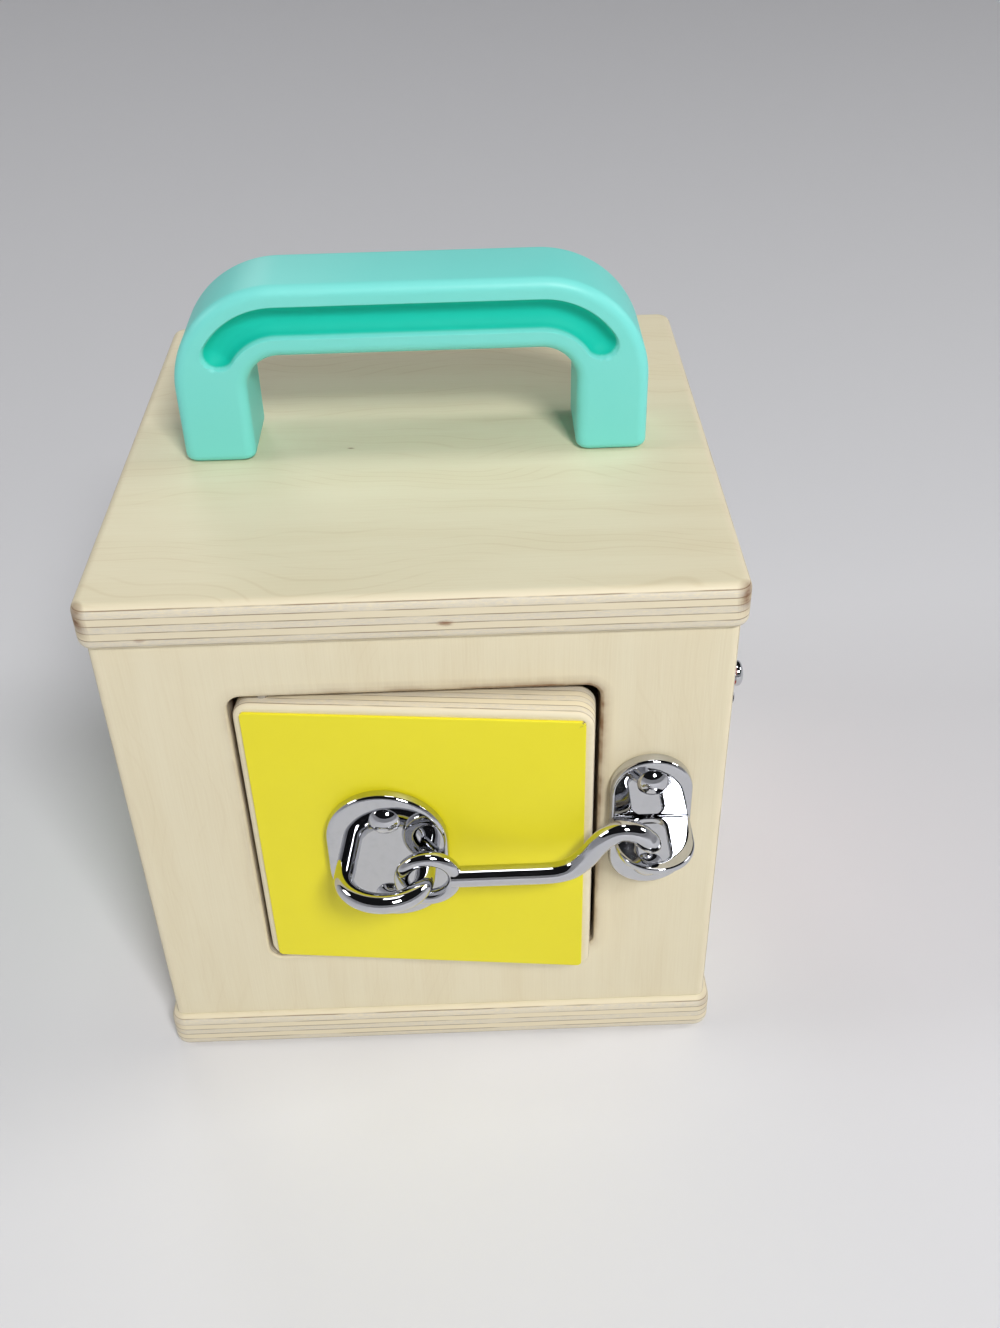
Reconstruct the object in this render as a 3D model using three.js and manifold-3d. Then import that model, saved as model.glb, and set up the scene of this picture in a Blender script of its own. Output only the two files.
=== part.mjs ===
// A wooden lock box: a plywood cube with a carrying handle and four small doors, each with its own latch.
// Millimetres, +Z up, the front faces -Y, and the origin is the centre of the underside.
import * as THREE from 'three';
import { mergeVertices } from 'three/addons/utils/BufferGeometryUtils.js';
import Module from 'manifold-3d';

const wasm = await Module();
wasm.setup();

// the box
const boxWidth = 150;
const boxHeight = 150;
const boardThickness = 12;
const boardCorner = 4;
const boardEdge = 2.5;
const wallInset = 1.75;
const wallThickness = 10;
const wallCorner = 2;

// the doorway in each wall, seen from outside that wall
const doorwayWidth = 86.5;
const doorwayShift = -1.25;
const doorwayBelow = 21.75;
const doorwayAbove = 15.25;
const doorwayCorner = 3.5;

// the doors
const doorGap = 1.25;
const doorBoard = 11.25;
const doorCorner = 4.5;
const doorEdge = 1.5;
const doorProud = 2.25;
const facingThickness = 0.5;
const facingInset = 2;
const facingCorner = 2.5;
const pinRadius = 1.5;
const pinFromEdge = 7;
const pinFromFront = 4.75;
const pinInDoor = 6;
const pinInWall = 4.75;
const stopWidth = 16;
const stopHeight = 56;
const stopThickness = 4;
const ajar = 5.5;

// the handle
const handleWidth = 116.5;
const handleDepth = 23.5;
const handleHeight = 45.5;
const handleBar = 17.75;
const handleCorner = 26.5;
const handleEdge = 2.75;
const footEdge = 2.25;
const footInset = 0.05;
const grooveRadius = 3.75;
const grooveEnd = 34;
const handleScrewRadius = 2;
const handleScrewDepth = 15;
const handleScrewHead = 4;
const handleScrewDome = 2.75;

// the clearances between pieces that touch, and between pieces that turn
const seat = 0.3;
const running = 0.1;

// the wood screws of the latches
const screwHead = 3.75;
const screwDome = 2;
const screwShank = 1.5;
const screwLength = 9;

// the hook and eye on the front door
const eyePlateWidth = 30;
const eyePlateHeight = 40.5;
const eyePlateThickness = 3;
const eyePlateFromEdge = 51;
const latchDrop = 0.75;
const eyeScrewSpacing = 25;
const stapleRod = 2.5;
const stapleHalf = 9.75;
const stapleLeg = 6.5;
const stapleNose = 8.25;
const hookRod = 2.6;
const hookEye = 6.4;
const hookEyeRod = 1.8;
const hookTurn = 0.25;
const hookRise = 1;
const hookArch = 13.25;
const hookTip = 53.5;
const hookTipRadius = 2;
const hookTipLength = 3.5;
const hookDepth = 7;
const hookHang = 1;
const hookPoise = 0.4;

// the hook's keeper on the front wall
const keeperPastEdge = 12.75;
const keeperWidth = 20;
const keeperHeight = 41;
const keeperThickness = 3.5;
const keeperRise = 4;
const keeperScrewSpacing = 27.5;
const lugRise = 6.75;
const lugThickness = 1.75;
const lugReach = 18.25;
const lugWidth = 19;
const lugHoleWidth = 7.25;
const lugHoleShift = 0.5;
const lugHoleCorner = 3;
const lugHoleStart = 0.75;
const lugHoleLength = 14.5;

// the barrel bolt on the right door
const boltPlateLength = 62;
const boltPlateHeight = 20;
const boltPlateFromEdge = 37;
const latchPlate = 2;
const boltRadius = 2.5;
const boltLift = 3.25;
const boltGuide = 8;
const boltGuideWall = 1.25;
const boltKnobFromEdge = 54;
const boltKnobRadius = 3.75;
const boltKnobReach = 6.75;
const boltKeeperPastEdge = 9;
const boltKeeperWidth = 10;
const boltKeeperWall = 1.5;
const boltPlay = 0.5;
const boltKeeperFoot = 12;
const boltKeeperHeight = 36;
const boltKeeperSpacing = 25;

// the turn button on the left door
const buttonFromEdge = 10;
const buttonLength = 46;
const buttonWidth = 14;
const buttonThickness = 4;
const buttonSpacer = 2;

// the hasp and turn staple on the back door
const haspFromEdge = 16;
const haspHeight = 26;
const haspLeaf = 20;
const haspKnuckle = 3;
const haspPin = 1.5;
const haspReach = 33;
const haspSlotX = 23.5;
const haspSlotWidth = 10;
const haspSlotHeight = 17;
const haspSlotCorner = 2;
const haspStrapInset = 2;
const haspStrapCorner = 5;
const haspStrapStart = 1;
const haspOpen = 32;
const turnHead = 13;
const turnThickness = 4.5;
const turnReach = 9;
const turnNeck = 2;
const turnPlateWidth = 12;
const turnPlateHeight = 36;
const turnPlateSpacing = 28;

// everything below follows from the values above
const degree = Math.PI / 180;
const wallHalf = boxWidth / 2 - wallInset;
const innerHalf = wallHalf - wallThickness;
// each latch keeps its distance from the doorway's free edge, where the door opens
const freeEdge = doorwayShift + doorwayWidth / 2;
const eyePlateX = freeEdge - eyePlateFromEdge;
const keeperX = freeEdge + keeperPastEdge;
const boltPlateX = freeEdge - boltPlateFromEdge;
const boltKnobX = freeEdge - boltKnobFromEdge;
const boltKeeperX = freeEdge + boltKeeperPastEdge;
const buttonX = freeEdge - buttonFromEdge;
const haspX = freeEdge - haspFromEdge;
const wallBottom = boardThickness;
const wallHeight = boxHeight - 2 * boardThickness;
const doorwayBottom = wallBottom + doorwayBelow;
const doorwayHeight = wallHeight - doorwayBelow - doorwayAbove;
const doorwayZ = doorwayBottom + doorwayHeight / 2;
const doorWidth = doorwayWidth - 2 * doorGap;
const doorHeight = doorwayHeight - 2 * doorGap;
const doorLeft = doorwayShift - doorWidth / 2;
const doorRight = doorwayShift + doorWidth / 2;
const doorBottom = doorwayZ - doorHeight / 2;
const doorTop = doorwayZ + doorHeight / 2;
const facingFront = -wallHalf - doorProud;
const boardFront = facingFront + facingThickness + seat;
const boardBack = boardFront + doorBoard;
const pinX = doorLeft + pinFromEdge;
const pinY = facingFront + pinFromFront;
const latchBack = facingFront - seat;
const latchHeight = doorwayZ - latchDrop;
const hookZ = latchHeight + hookRise;
const keeperZ = latchHeight + keeperRise;
const lugTop = latchHeight + lugRise;

const birch = new THREE.MeshStandardMaterial({ color: 0xdccfa9, roughness: 0.6, metalness: 0 });
const mint = new THREE.MeshStandardMaterial({ color: 0x6fd9c4, roughness: 0.4, metalness: 0 });
const chrome = new THREE.MeshStandardMaterial({ color: 0xd8dadc, roughness: 0.08, metalness: 1 });
const yellow = new THREE.MeshStandardMaterial({ color: 0xe6dc2e, roughness: 0.45, metalness: 0 });
const red = new THREE.MeshStandardMaterial({ color: 0xd6453c, roughness: 0.45, metalness: 0 });
const blue = new THREE.MeshStandardMaterial({ color: 0x3f8fd0, roughness: 0.45, metalness: 0 });
const green = new THREE.MeshStandardMaterial({ color: 0x63b84c, roughness: 0.45, metalness: 0 });

// a geometry with its shared corners merged and its empty triangles taken out
function closed(geometry) {
  const bare = geometry.clone();
  bare.deleteAttribute('normal');
  bare.deleteAttribute('uv');
  const merged = mergeVertices(bare, 1e-4);
  const corners = merged.index.array;
  const kept = [];
  for (let i = 0; i < corners.length; i += 3) {
    const [a, b, c] = [corners[i], corners[i + 1], corners[i + 2]];
    if (a !== b && b !== c && c !== a) kept.push(a, b, c);
  }
  merged.setIndex(kept);
  merged.computeVertexNormals();
  return merged;
}

function solidOf(geometry) {
  const merged = closed(geometry);
  const vertProperties = new Float32Array(merged.attributes.position.array);
  const triVerts = new Uint32Array(merged.index.array);
  return new wasm.Manifold(new wasm.Mesh({ numProp: 3, vertProperties, triVerts }));
}

function geometryOf(solid) {
  const { vertProperties, triVerts } = solid.getMesh();
  const geometry = new THREE.BufferGeometry();
  geometry.setAttribute('position', new THREE.BufferAttribute(vertProperties, 3));
  geometry.setIndex(new THREE.BufferAttribute(triVerts, 1));
  return geometry;
}

function cut(geometry, tools) {
  return geometryOf(tools.reduce((rest, tool) => rest.subtract(solidOf(tool)), solidOf(geometry)));
}

function join(geometries) {
  const [first, ...others] = geometries.map(solidOf);
  return geometryOf(others.reduce((whole, other) => whole.add(other), first));
}

function piece(name, geometry, material) {
  const mesh = new THREE.Mesh(closed(geometry), material.clone());
  mesh.name = name;
  return mesh;
}

function roundedRect(width, height, radius, x = 0, y = 0) {
  const shape = new THREE.Shape();
  const [right, top] = [width / 2 - radius, height / 2 - radius];
  shape.absarc(x + right, y + top, radius, 0, Math.PI / 2);
  shape.absarc(x - right, y + top, radius, Math.PI / 2, Math.PI);
  shape.absarc(x - right, y - top, radius, Math.PI, 1.5 * Math.PI);
  shape.absarc(x + right, y - top, radius, 1.5 * Math.PI, 2 * Math.PI);
  shape.closePath();
  return shape;
}

// a shape's outline pushed up from a height, with its edges rounded by the given radius
function flat(shape, thickness, bottom, edge = 0, curveSegments = 2) {
  const geometry = new THREE.ExtrudeGeometry(shape, {
    depth: thickness - 2 * edge,
    curveSegments,
    bevelEnabled: edge > 0,
    bevelThickness: edge,
    bevelSize: edge,
    bevelOffset: -edge,
    bevelSegments: 2,
  });
  return geometry.translate(0, 0, bottom + edge);
}

// the same outline standing upright, pushed towards -Y from its back
function upright(shape, thickness, back, edge = 0, curveSegments = 2) {
  return flat(shape, thickness, 0, edge, curveSegments).rotateX(Math.PI / 2).translate(0, back, 0);
}

function block(xLow, xHigh, yLow, yHigh, zLow, zHigh) {
  const geometry = new THREE.BoxGeometry(xHigh - xLow, yHigh - yLow, zHigh - zLow);
  return geometry.translate((xLow + xHigh) / 2, (yLow + yHigh) / 2, (zLow + zHigh) / 2);
}

// round bars along each axis, between two places on it
function alongX(radius, low, high, y, z, sides = 20) {
  const geometry = new THREE.CylinderGeometry(radius, radius, high - low, sides);
  return geometry.rotateZ(Math.PI / 2).translate((low + high) / 2, y, z);
}

function alongY(radius, low, high, x, z, sides = 16) {
  return new THREE.CylinderGeometry(radius, radius, high - low, sides).translate(x, (low + high) / 2, z);
}

function alongZ(radius, low, high, x, y, sides = 16) {
  const geometry = new THREE.CylinderGeometry(radius, radius, high - low, sides);
  return geometry.rotateX(Math.PI / 2).translate(x, y, (low + high) / 2);
}

// a round rod along a smooth line through points, with flat ends
function rod(points, radius, steps, sides = 12) {
  const section = new THREE.Shape();
  section.absarc(0, 0, radius, 0, 2 * Math.PI);
  const path = new THREE.CatmullRomCurve3(points, false, 'centripetal');
  return new THREE.ExtrudeGeometry(section, { extrudePath: path, steps, curveSegments: sides / 2 });
}

// a domed wood screw that goes in towards +Y, its head's underside at y = seatY
function screw(name, x, seatY, z, length = screwLength) {
  const profile = [
    [0, -length], [screwShank * 0.4, -length], [screwShank, 1.5 - length], [screwShank, 0], [screwHead, 0]];
  for (let i = 0; i < 3; i += 1) {
    const angle = i * 30 * degree;
    profile.push([screwHead * Math.cos(angle), 0.4 + (screwDome - 0.4) * Math.sin(angle)]);
  }
  profile.push([0, screwDome]);
  const points = profile.map(([r, h]) => new THREE.Vector2(r, h));
  const geometry = new THREE.LatheGeometry(points, 12).rotateX(Math.PI).translate(x, seatY, z);
  return piece(name, geometry, chrome);
}

// the hole that a screw's shank needs through the pieces that it holds
function screwHole(x, z) {
  return alongY(screwShank + seat, facingFront - 8, boardFront + screwLength + 1.5, x, z);
}

// a wall, with its doorway and the two holes for its door's pins
function wall(name, width, rounded, holes) {
  const plan = new THREE.Shape();
  const half = width / 2;
  plan.moveTo(half, -innerHalf);
  plan.lineTo(-half, -innerHalf);
  if (rounded) {
    plan.absarc(-half + wallCorner, -wallHalf + wallCorner, wallCorner, Math.PI, 1.5 * Math.PI);
    plan.absarc(half - wallCorner, -wallHalf + wallCorner, wallCorner, 1.5 * Math.PI, 2 * Math.PI);
  } else {
    plan.lineTo(-half, -wallHalf);
    plan.lineTo(half, -wallHalf);
  }
  const doorway = roundedRect(doorwayWidth, doorwayHeight, doorwayCorner, doorwayShift, doorwayZ);
  const pinLow = doorwayBottom - pinInWall - seat;
  const pinHigh = doorwayBottom + doorwayHeight + pinInWall + seat;
  const pinHole = alongZ(pinRadius + running, pinLow, pinHigh, pinX, pinY);
  const body = flat(plan, wallHeight, wallBottom);
  const opening = upright(doorway, wallThickness + 4, 2 - innerHalf);
  return piece(name, cut(body, [opening, pinHole, ...holes]), birch);
}

// a door with its facing and pins, and the strip on the wall that stops it
function door(side, colour, holes) {
  const across = roundedRect(doorWidth, doorHeight, doorCorner, doorwayShift, doorwayZ);
  const facingWidth = doorWidth - 2 * facingInset;
  const facingHeight = doorHeight - 2 * facingInset;
  const face = roundedRect(facingWidth, facingHeight, facingCorner, doorwayShift, doorwayZ);
  const low = doorBottom + pinInDoor + seat;
  const high = doorTop - pinInDoor - seat;
  const pinHoles = [
    alongZ(pinRadius + running, doorBottom - 1, low, pinX, pinY),
    alongZ(pinRadius + running, high, doorTop + 1, pinX, pinY),
  ];
  const board = cut(upright(across, doorBoard, boardBack, doorEdge), [...pinHoles, ...holes]);
  const skin = upright(face, facingThickness, facingFront + facingThickness);
  const moving = [
    piece(`${side}_door_board`, board, birch),
    piece(`${side}_door_facing`, holes.length ? cut(skin, holes) : skin, colour),
  ];
  const bottomPin = alongZ(pinRadius, doorwayBottom - pinInWall, doorBottom + pinInDoor, pinX, pinY);
  const doorwayTop = doorwayBottom + doorwayHeight;
  const topPin = alongZ(pinRadius, doorTop - pinInDoor, doorwayTop + pinInWall, pinX, pinY);
  const stopX = doorRight - 4;
  const stop = block(
    stopX, stopX + stopWidth, -innerHalf, stopThickness - innerHalf,
    doorwayZ - stopHeight / 2, doorwayZ + stopHeight / 2);
  const fixed = [
    piece(`${side}_pin_bottom`, bottomPin, chrome),
    piece(`${side}_pin_top`, topPin, chrome),
    piece(`${side}_door_stop`, stop, birch),
  ];
  return { moving, fixed };
}

// pieces turned together about an upright line
function turned(pieces, x, y, angle) {
  const hinge = new THREE.Group();
  hinge.position.set(x, y, 0);
  hinge.rotation.z = angle * degree;
  const held = new THREE.Group();
  held.position.set(-x, -y, 0);
  held.add(...pieces);
  hinge.add(held);
  return hinge;
}

// the boards, and the handle with its screws
function carcase() {
  const outline = roundedRect(boxWidth, boxWidth, boardCorner);
  const legX = handleWidth / 2 - handleBar / 2;
  const screwLow = boxHeight - boardThickness - 1;
  const screwHigh = boxHeight + handleScrewDepth + seat;
  const screwHoles = [-legX, legX].map((x) => alongZ(handleScrewRadius + seat, screwLow, screwHigh, x, 0));
  const topBoard = cut(flat(outline, boardThickness, boxHeight - boardThickness, boardEdge), screwHoles);
  const bottomBoard = flat(outline, boardThickness, 0, boardEdge);

  const half = handleWidth / 2;
  const inner = handleCorner - handleBar;
  const top = boxHeight + handleHeight;
  const bend = top - handleCorner;
  const foot = boxHeight - 6;
  const arch = new THREE.Shape();
  arch.moveTo(half, foot);
  arch.lineTo(half, bend);
  arch.absarc(half - handleCorner, bend, handleCorner, 0, Math.PI / 2);
  arch.absarc(handleCorner - half, bend, handleCorner, Math.PI / 2, Math.PI);
  arch.lineTo(-half, foot);
  arch.lineTo(handleBar - half, foot);
  arch.absarc(handleCorner - half, bend, inner, Math.PI, Math.PI / 2, true);
  arch.absarc(half - handleCorner, bend, inner, Math.PI / 2, 0, true);
  arch.lineTo(half - handleBar, foot);
  arch.closePath();
  const middle = handleCorner - handleBar / 2;
  const groovePoints = [];
  for (let i = 0; i <= 6; i += 1) {
    const angle = (180 - grooveEnd - (i / 6) * (90 - grooveEnd)) * degree;
    groovePoints.push([handleCorner - half + middle * Math.cos(angle), bend + middle * Math.sin(angle)]);
  }
  const mirrored = groovePoints.map(([x, z]) => [-x, z]).reverse();
  const line = [...groovePoints, ...mirrored].map(([x, z]) => new THREE.Vector3(x, -handleDepth / 2, z));
  const ends = [line[0], line[line.length - 1]].map(
    (p) => new THREE.SphereGeometry(grooveRadius, 12, 8).translate(p.x, p.y, p.z));
  const underFoot = block(-boxWidth, boxWidth, -boxWidth, boxWidth, foot - 10, boxHeight + footEdge);
  const feet = [-legX, legX].map((x) => {
    const footShape = roundedRect(handleBar - 2 * footInset, handleDepth - 2 * footInset, handleEdge, x, 0);
    return flat(footShape, 3 * footEdge, boxHeight, footEdge);
  });
  const bar = cut(upright(arch, handleDepth, handleDepth / 2, handleEdge, 4), [underFoot]);
  const handle = cut(join([bar, ...feet]), [rod(line, grooveRadius, 28), ...ends, ...screwHoles]);

  const screwProfile = [
    [0, -handleScrewDome], [handleScrewHead * 0.6, -handleScrewDome], [handleScrewHead, -handleScrewDome / 2],
    [handleScrewHead, 0], [handleScrewRadius, 0],
    [handleScrewRadius, boardThickness + handleScrewDepth], [0, boardThickness + handleScrewDepth]];
  const points = screwProfile.map(([r, h]) => new THREE.Vector2(r, h));
  const screwBody = new THREE.LatheGeometry(points, 16).rotateX(Math.PI / 2);
  screwBody.translate(0, 0, boxHeight - boardThickness);
  const handleScrew = (name, x) => piece(name, screwBody.clone().translate(x, 0, 0), chrome);
  return [
    piece('top_board', topBoard, birch),
    piece('bottom_board', bottomBoard, birch),
    piece('handle', handle, mint),
    handleScrew('handle_screw_left', -legX),
    handleScrew('handle_screw_right', legX),
  ];
}

// the front wall and door, with the hook, its eye plate and its keeper
function frontSide() {
  const eyeScrewZ = [latchHeight + eyeScrewSpacing / 2, latchHeight - eyeScrewSpacing / 2];
  const keeperScrewZ = [keeperZ + keeperScrewSpacing / 2, keeperZ - keeperScrewSpacing / 2];
  const eyeHoles = eyeScrewZ.map((z) => screwHole(eyePlateX, z));
  const keeperHoles = keeperScrewZ.map((z) => screwHole(keeperX, z));
  const { moving, fixed } = door('front', yellow, eyeHoles);

  const plateFront = latchBack - eyePlateThickness;
  const legHoles = [-stapleHalf, stapleHalf].map(
    (x) => alongY(stapleRod + seat, plateFront - 2, latchBack + 2, eyePlateX + x, latchHeight));
  const plateShape = roundedRect(eyePlateWidth, eyePlateHeight, eyePlateWidth / 2, eyePlateX, latchHeight);
  const plate = upright(plateShape, eyePlateThickness, latchBack, 0.75, 3);
  const bow = [[-stapleHalf, latchBack - seat], [-stapleHalf, plateFront - stapleLeg]];
  for (let i = 1; i < 12; i += 1) {
    const angle = (i / 12) * Math.PI;
    bow.push([-stapleHalf * Math.cos(angle), plateFront - stapleLeg - stapleNose * Math.sin(angle)]);
  }
  bow.push([stapleHalf, plateFront - stapleLeg], [stapleHalf, latchBack - seat]);
  const bowLine = bow.map(([x, y]) => new THREE.Vector3(eyePlateX + x, y, latchHeight));
  moving.push(
    piece('eye_plate', cut(plate, [...legHoles, ...eyeHoles]), chrome),
    piece('eye_staple', rod(bowLine, stapleRod, 26), chrome),
    screw('eye_screw_top', eyePlateX, plateFront - seat, eyeScrewZ[0], screwLength + eyePlateThickness),
    screw('eye_screw_bottom', eyePlateX, plateFront - seat, eyeScrewZ[1], screwLength + eyePlateThickness));

  const keeperBack = -wallHalf;
  const keeperFront = keeperBack - keeperThickness;
  const keeperScrew = screwLength + keeperThickness;
  const keeperShape = roundedRect(keeperWidth, keeperHeight, keeperWidth / 2, keeperX, keeperZ);
  const lugShape = new THREE.Shape();
  const lugRound = keeperFront - lugReach + lugWidth / 2;
  lugShape.moveTo(keeperX + lugWidth / 2, keeperFront + 1);
  lugShape.lineTo(keeperX - lugWidth / 2, keeperFront + 1);
  lugShape.absarc(keeperX, lugRound, lugWidth / 2, Math.PI, 2 * Math.PI);
  lugShape.closePath();
  const lug = flat(lugShape, lugThickness, lugTop - lugThickness, 0.5, 5);
  const holeY = keeperFront - lugHoleStart - lugHoleLength / 2;
  const holeShape = roundedRect(lugHoleWidth, lugHoleLength, lugHoleCorner, keeperX - lugHoleShift, holeY);
  const lugHole = flat(holeShape, lugThickness + 4, lugTop - lugThickness - 2);
  const keeper = join([upright(keeperShape, keeperThickness, keeperBack, 0.75, 3), lug]);
  fixed.push(
    wall('front_wall', 2 * wallHalf, true, keeperHoles),
    piece('keeper', cut(keeper, [lugHole, ...keeperHoles]), chrome),
    screw('keeper_screw_top', keeperX, keeperFront - seat, keeperScrewZ[0], keeperScrew),
    screw('keeper_screw_bottom', keeperX, keeperFront - seat, keeperScrewZ[1], keeperScrew));

  // the hook lies in an upright plane of its own, which leans from the staple towards the keeper
  const tipLow = lugTop + hookPoise - hookZ;
  const bar = [
    [hookEye - 0.5, 0], [15, 0], [29, 0], [32.25, 0.5], [35.25, 2], [38.25, 5.25], [40.5, 8.75],
    [43, hookArch - 1.75], [46.25, hookArch], [49.75, hookArch - 1], [52, hookArch - 3.25],
    [hookTip - 0.25, tipLow + hookTipLength], [hookTip, tipLow + hookTipLength - 0.75]];
  const barLine = bar.map(([x, z]) => new THREE.Vector3(x, 0, z));
  const eyeRing = new THREE.TorusGeometry(hookEye, hookEyeRod, 10, 24).rotateX(Math.PI / 2);
  const tip = new THREE.CylinderGeometry(hookRod, hookTipRadius, hookTipLength, 12).rotateX(Math.PI / 2);
  tip.translate(hookTip, 0, tipLow + hookTipLength / 2);
  const hook = piece('hook', join([eyeRing, rod(barLine, hookRod, 32), tip]), chrome);
  const [legX, legY] = [eyePlateX + stapleHalf - pinX, plateFront - hookDepth - pinY];
  const [c, s] = [Math.cos(ajar * degree), Math.sin(ajar * degree)];
  hook.position.set(pinX + legX * c + legY * s + hookHang, pinY - legX * s + legY * c, hookZ);
  hook.rotation.z = hookTurn * degree;
  return [...fixed, turned(moving, pinX, pinY, -ajar), hook];
}

// the right wall and door, with the barrel bolt and its keeper
function rightSide() {
  const z = latchHeight;
  const plateFront = latchBack - latchPlate;
  const boltY = plateFront - boltLift;
  const plateLow = boltPlateX - boltPlateLength / 2;
  const plateHigh = boltPlateX + boltPlateLength / 2;
  const screwX = [plateLow + boltGuide + 6, plateHigh - boltGuide - 6];
  const plateHoles = screwX.map((x, i) => screwHole(x, z + (i ? 6 : -6)));
  const keeperScrewZ = [z + boltKeeperSpacing / 2, z - boltKeeperSpacing / 2];
  const keeperHoles = keeperScrewZ.map((at) => screwHole(boltKeeperX, at));
  const { moving, fixed } = door('right', red, plateHoles);

  const guideFront = boltY - boltRadius - boltGuideWall;
  const guideHalf = boltRadius + boltGuideWall;
  const bolt = alongX(boltRadius + seat, plateLow - 5, plateHigh + 5, boltY, z);
  const guides = [plateLow + 1, plateHigh - boltGuide - 1].map((x) => block(
    x, x + boltGuide, guideFront, plateFront + 0.5, z - guideHalf, z + guideHalf));
  const plateShape = roundedRect(boltPlateLength, boltPlateHeight, 3, boltPlateX, z);
  const plate = join([upright(plateShape, latchPlate, latchBack, 0.5), ...guides]);
  const shaft = alongX(boltRadius, plateLow - 1, plateHigh + 1, boltY, z);
  const socket = alongY(1.5 + seat, boltY - boltRadius - 1, boltY - 1, boltKnobX, z);
  const knobProfile = [
    [0, 0], [1.5, 0], [1.5, boltKnobReach - 3.25], [boltKnobRadius - 0.5, boltKnobReach - 3.25],
    [boltKnobRadius, boltKnobReach - 2.75], [boltKnobRadius, boltKnobReach - 1.25],
    [boltKnobRadius - 1, boltKnobReach - 0.25], [0, boltKnobReach]];
  const knobPoints = knobProfile.map(([r, h]) => new THREE.Vector2(r, h));
  const knob = new THREE.LatheGeometry(knobPoints, 16).rotateX(Math.PI);
  moving.push(
    piece('bolt_plate', cut(plate, [bolt, ...plateHoles]), chrome),
    screw('bolt_plate_screw_front', screwX[0], plateFront - seat, z - 6),
    screw('bolt_plate_screw_back', screwX[1], plateFront - seat, z + 6),
    piece('bolt_rod', cut(shaft, [socket]), chrome),
    piece('bolt_knob', knob.translate(boltKnobX, boltY - 1.25, z), chrome));

  const keeperBack = -wallHalf;
  const keeperFront = keeperBack - latchPlate;
  const keeperShape = roundedRect(boltKeeperFoot, boltKeeperHeight, boltKeeperFoot * 0.4, boltKeeperX, z);
  const mouthHalf = boltRadius + boltPlay;
  const housingHalf = mouthHalf + boltKeeperWall;
  const housing = block(
    boltKeeperX - boltKeeperWidth / 2, boltKeeperX + boltKeeperWidth / 2,
    boltY - housingHalf, keeperFront + 0.5,
    z - housingHalf, z + housingHalf);
  const keeper = join([upright(keeperShape, latchPlate, keeperBack, 0.5), housing]);
  const mouth = block(
    boltKeeperX - boltKeeperWidth, boltKeeperX + boltKeeperWidth, boltY - mouthHalf, keeperFront,
    z - mouthHalf, z + mouthHalf);
  fixed.push(
    wall('right_wall', 2 * innerHalf, false, keeperHoles),
    piece('bolt_keeper', cut(keeper, [mouth, ...keeperHoles]), chrome),
    screw('bolt_keeper_screw_top', boltKeeperX, keeperFront - seat, keeperScrewZ[0]),
    screw('bolt_keeper_screw_bottom', boltKeeperX, keeperFront - seat, keeperScrewZ[1]));
  return [...fixed, ...moving];
}

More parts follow.
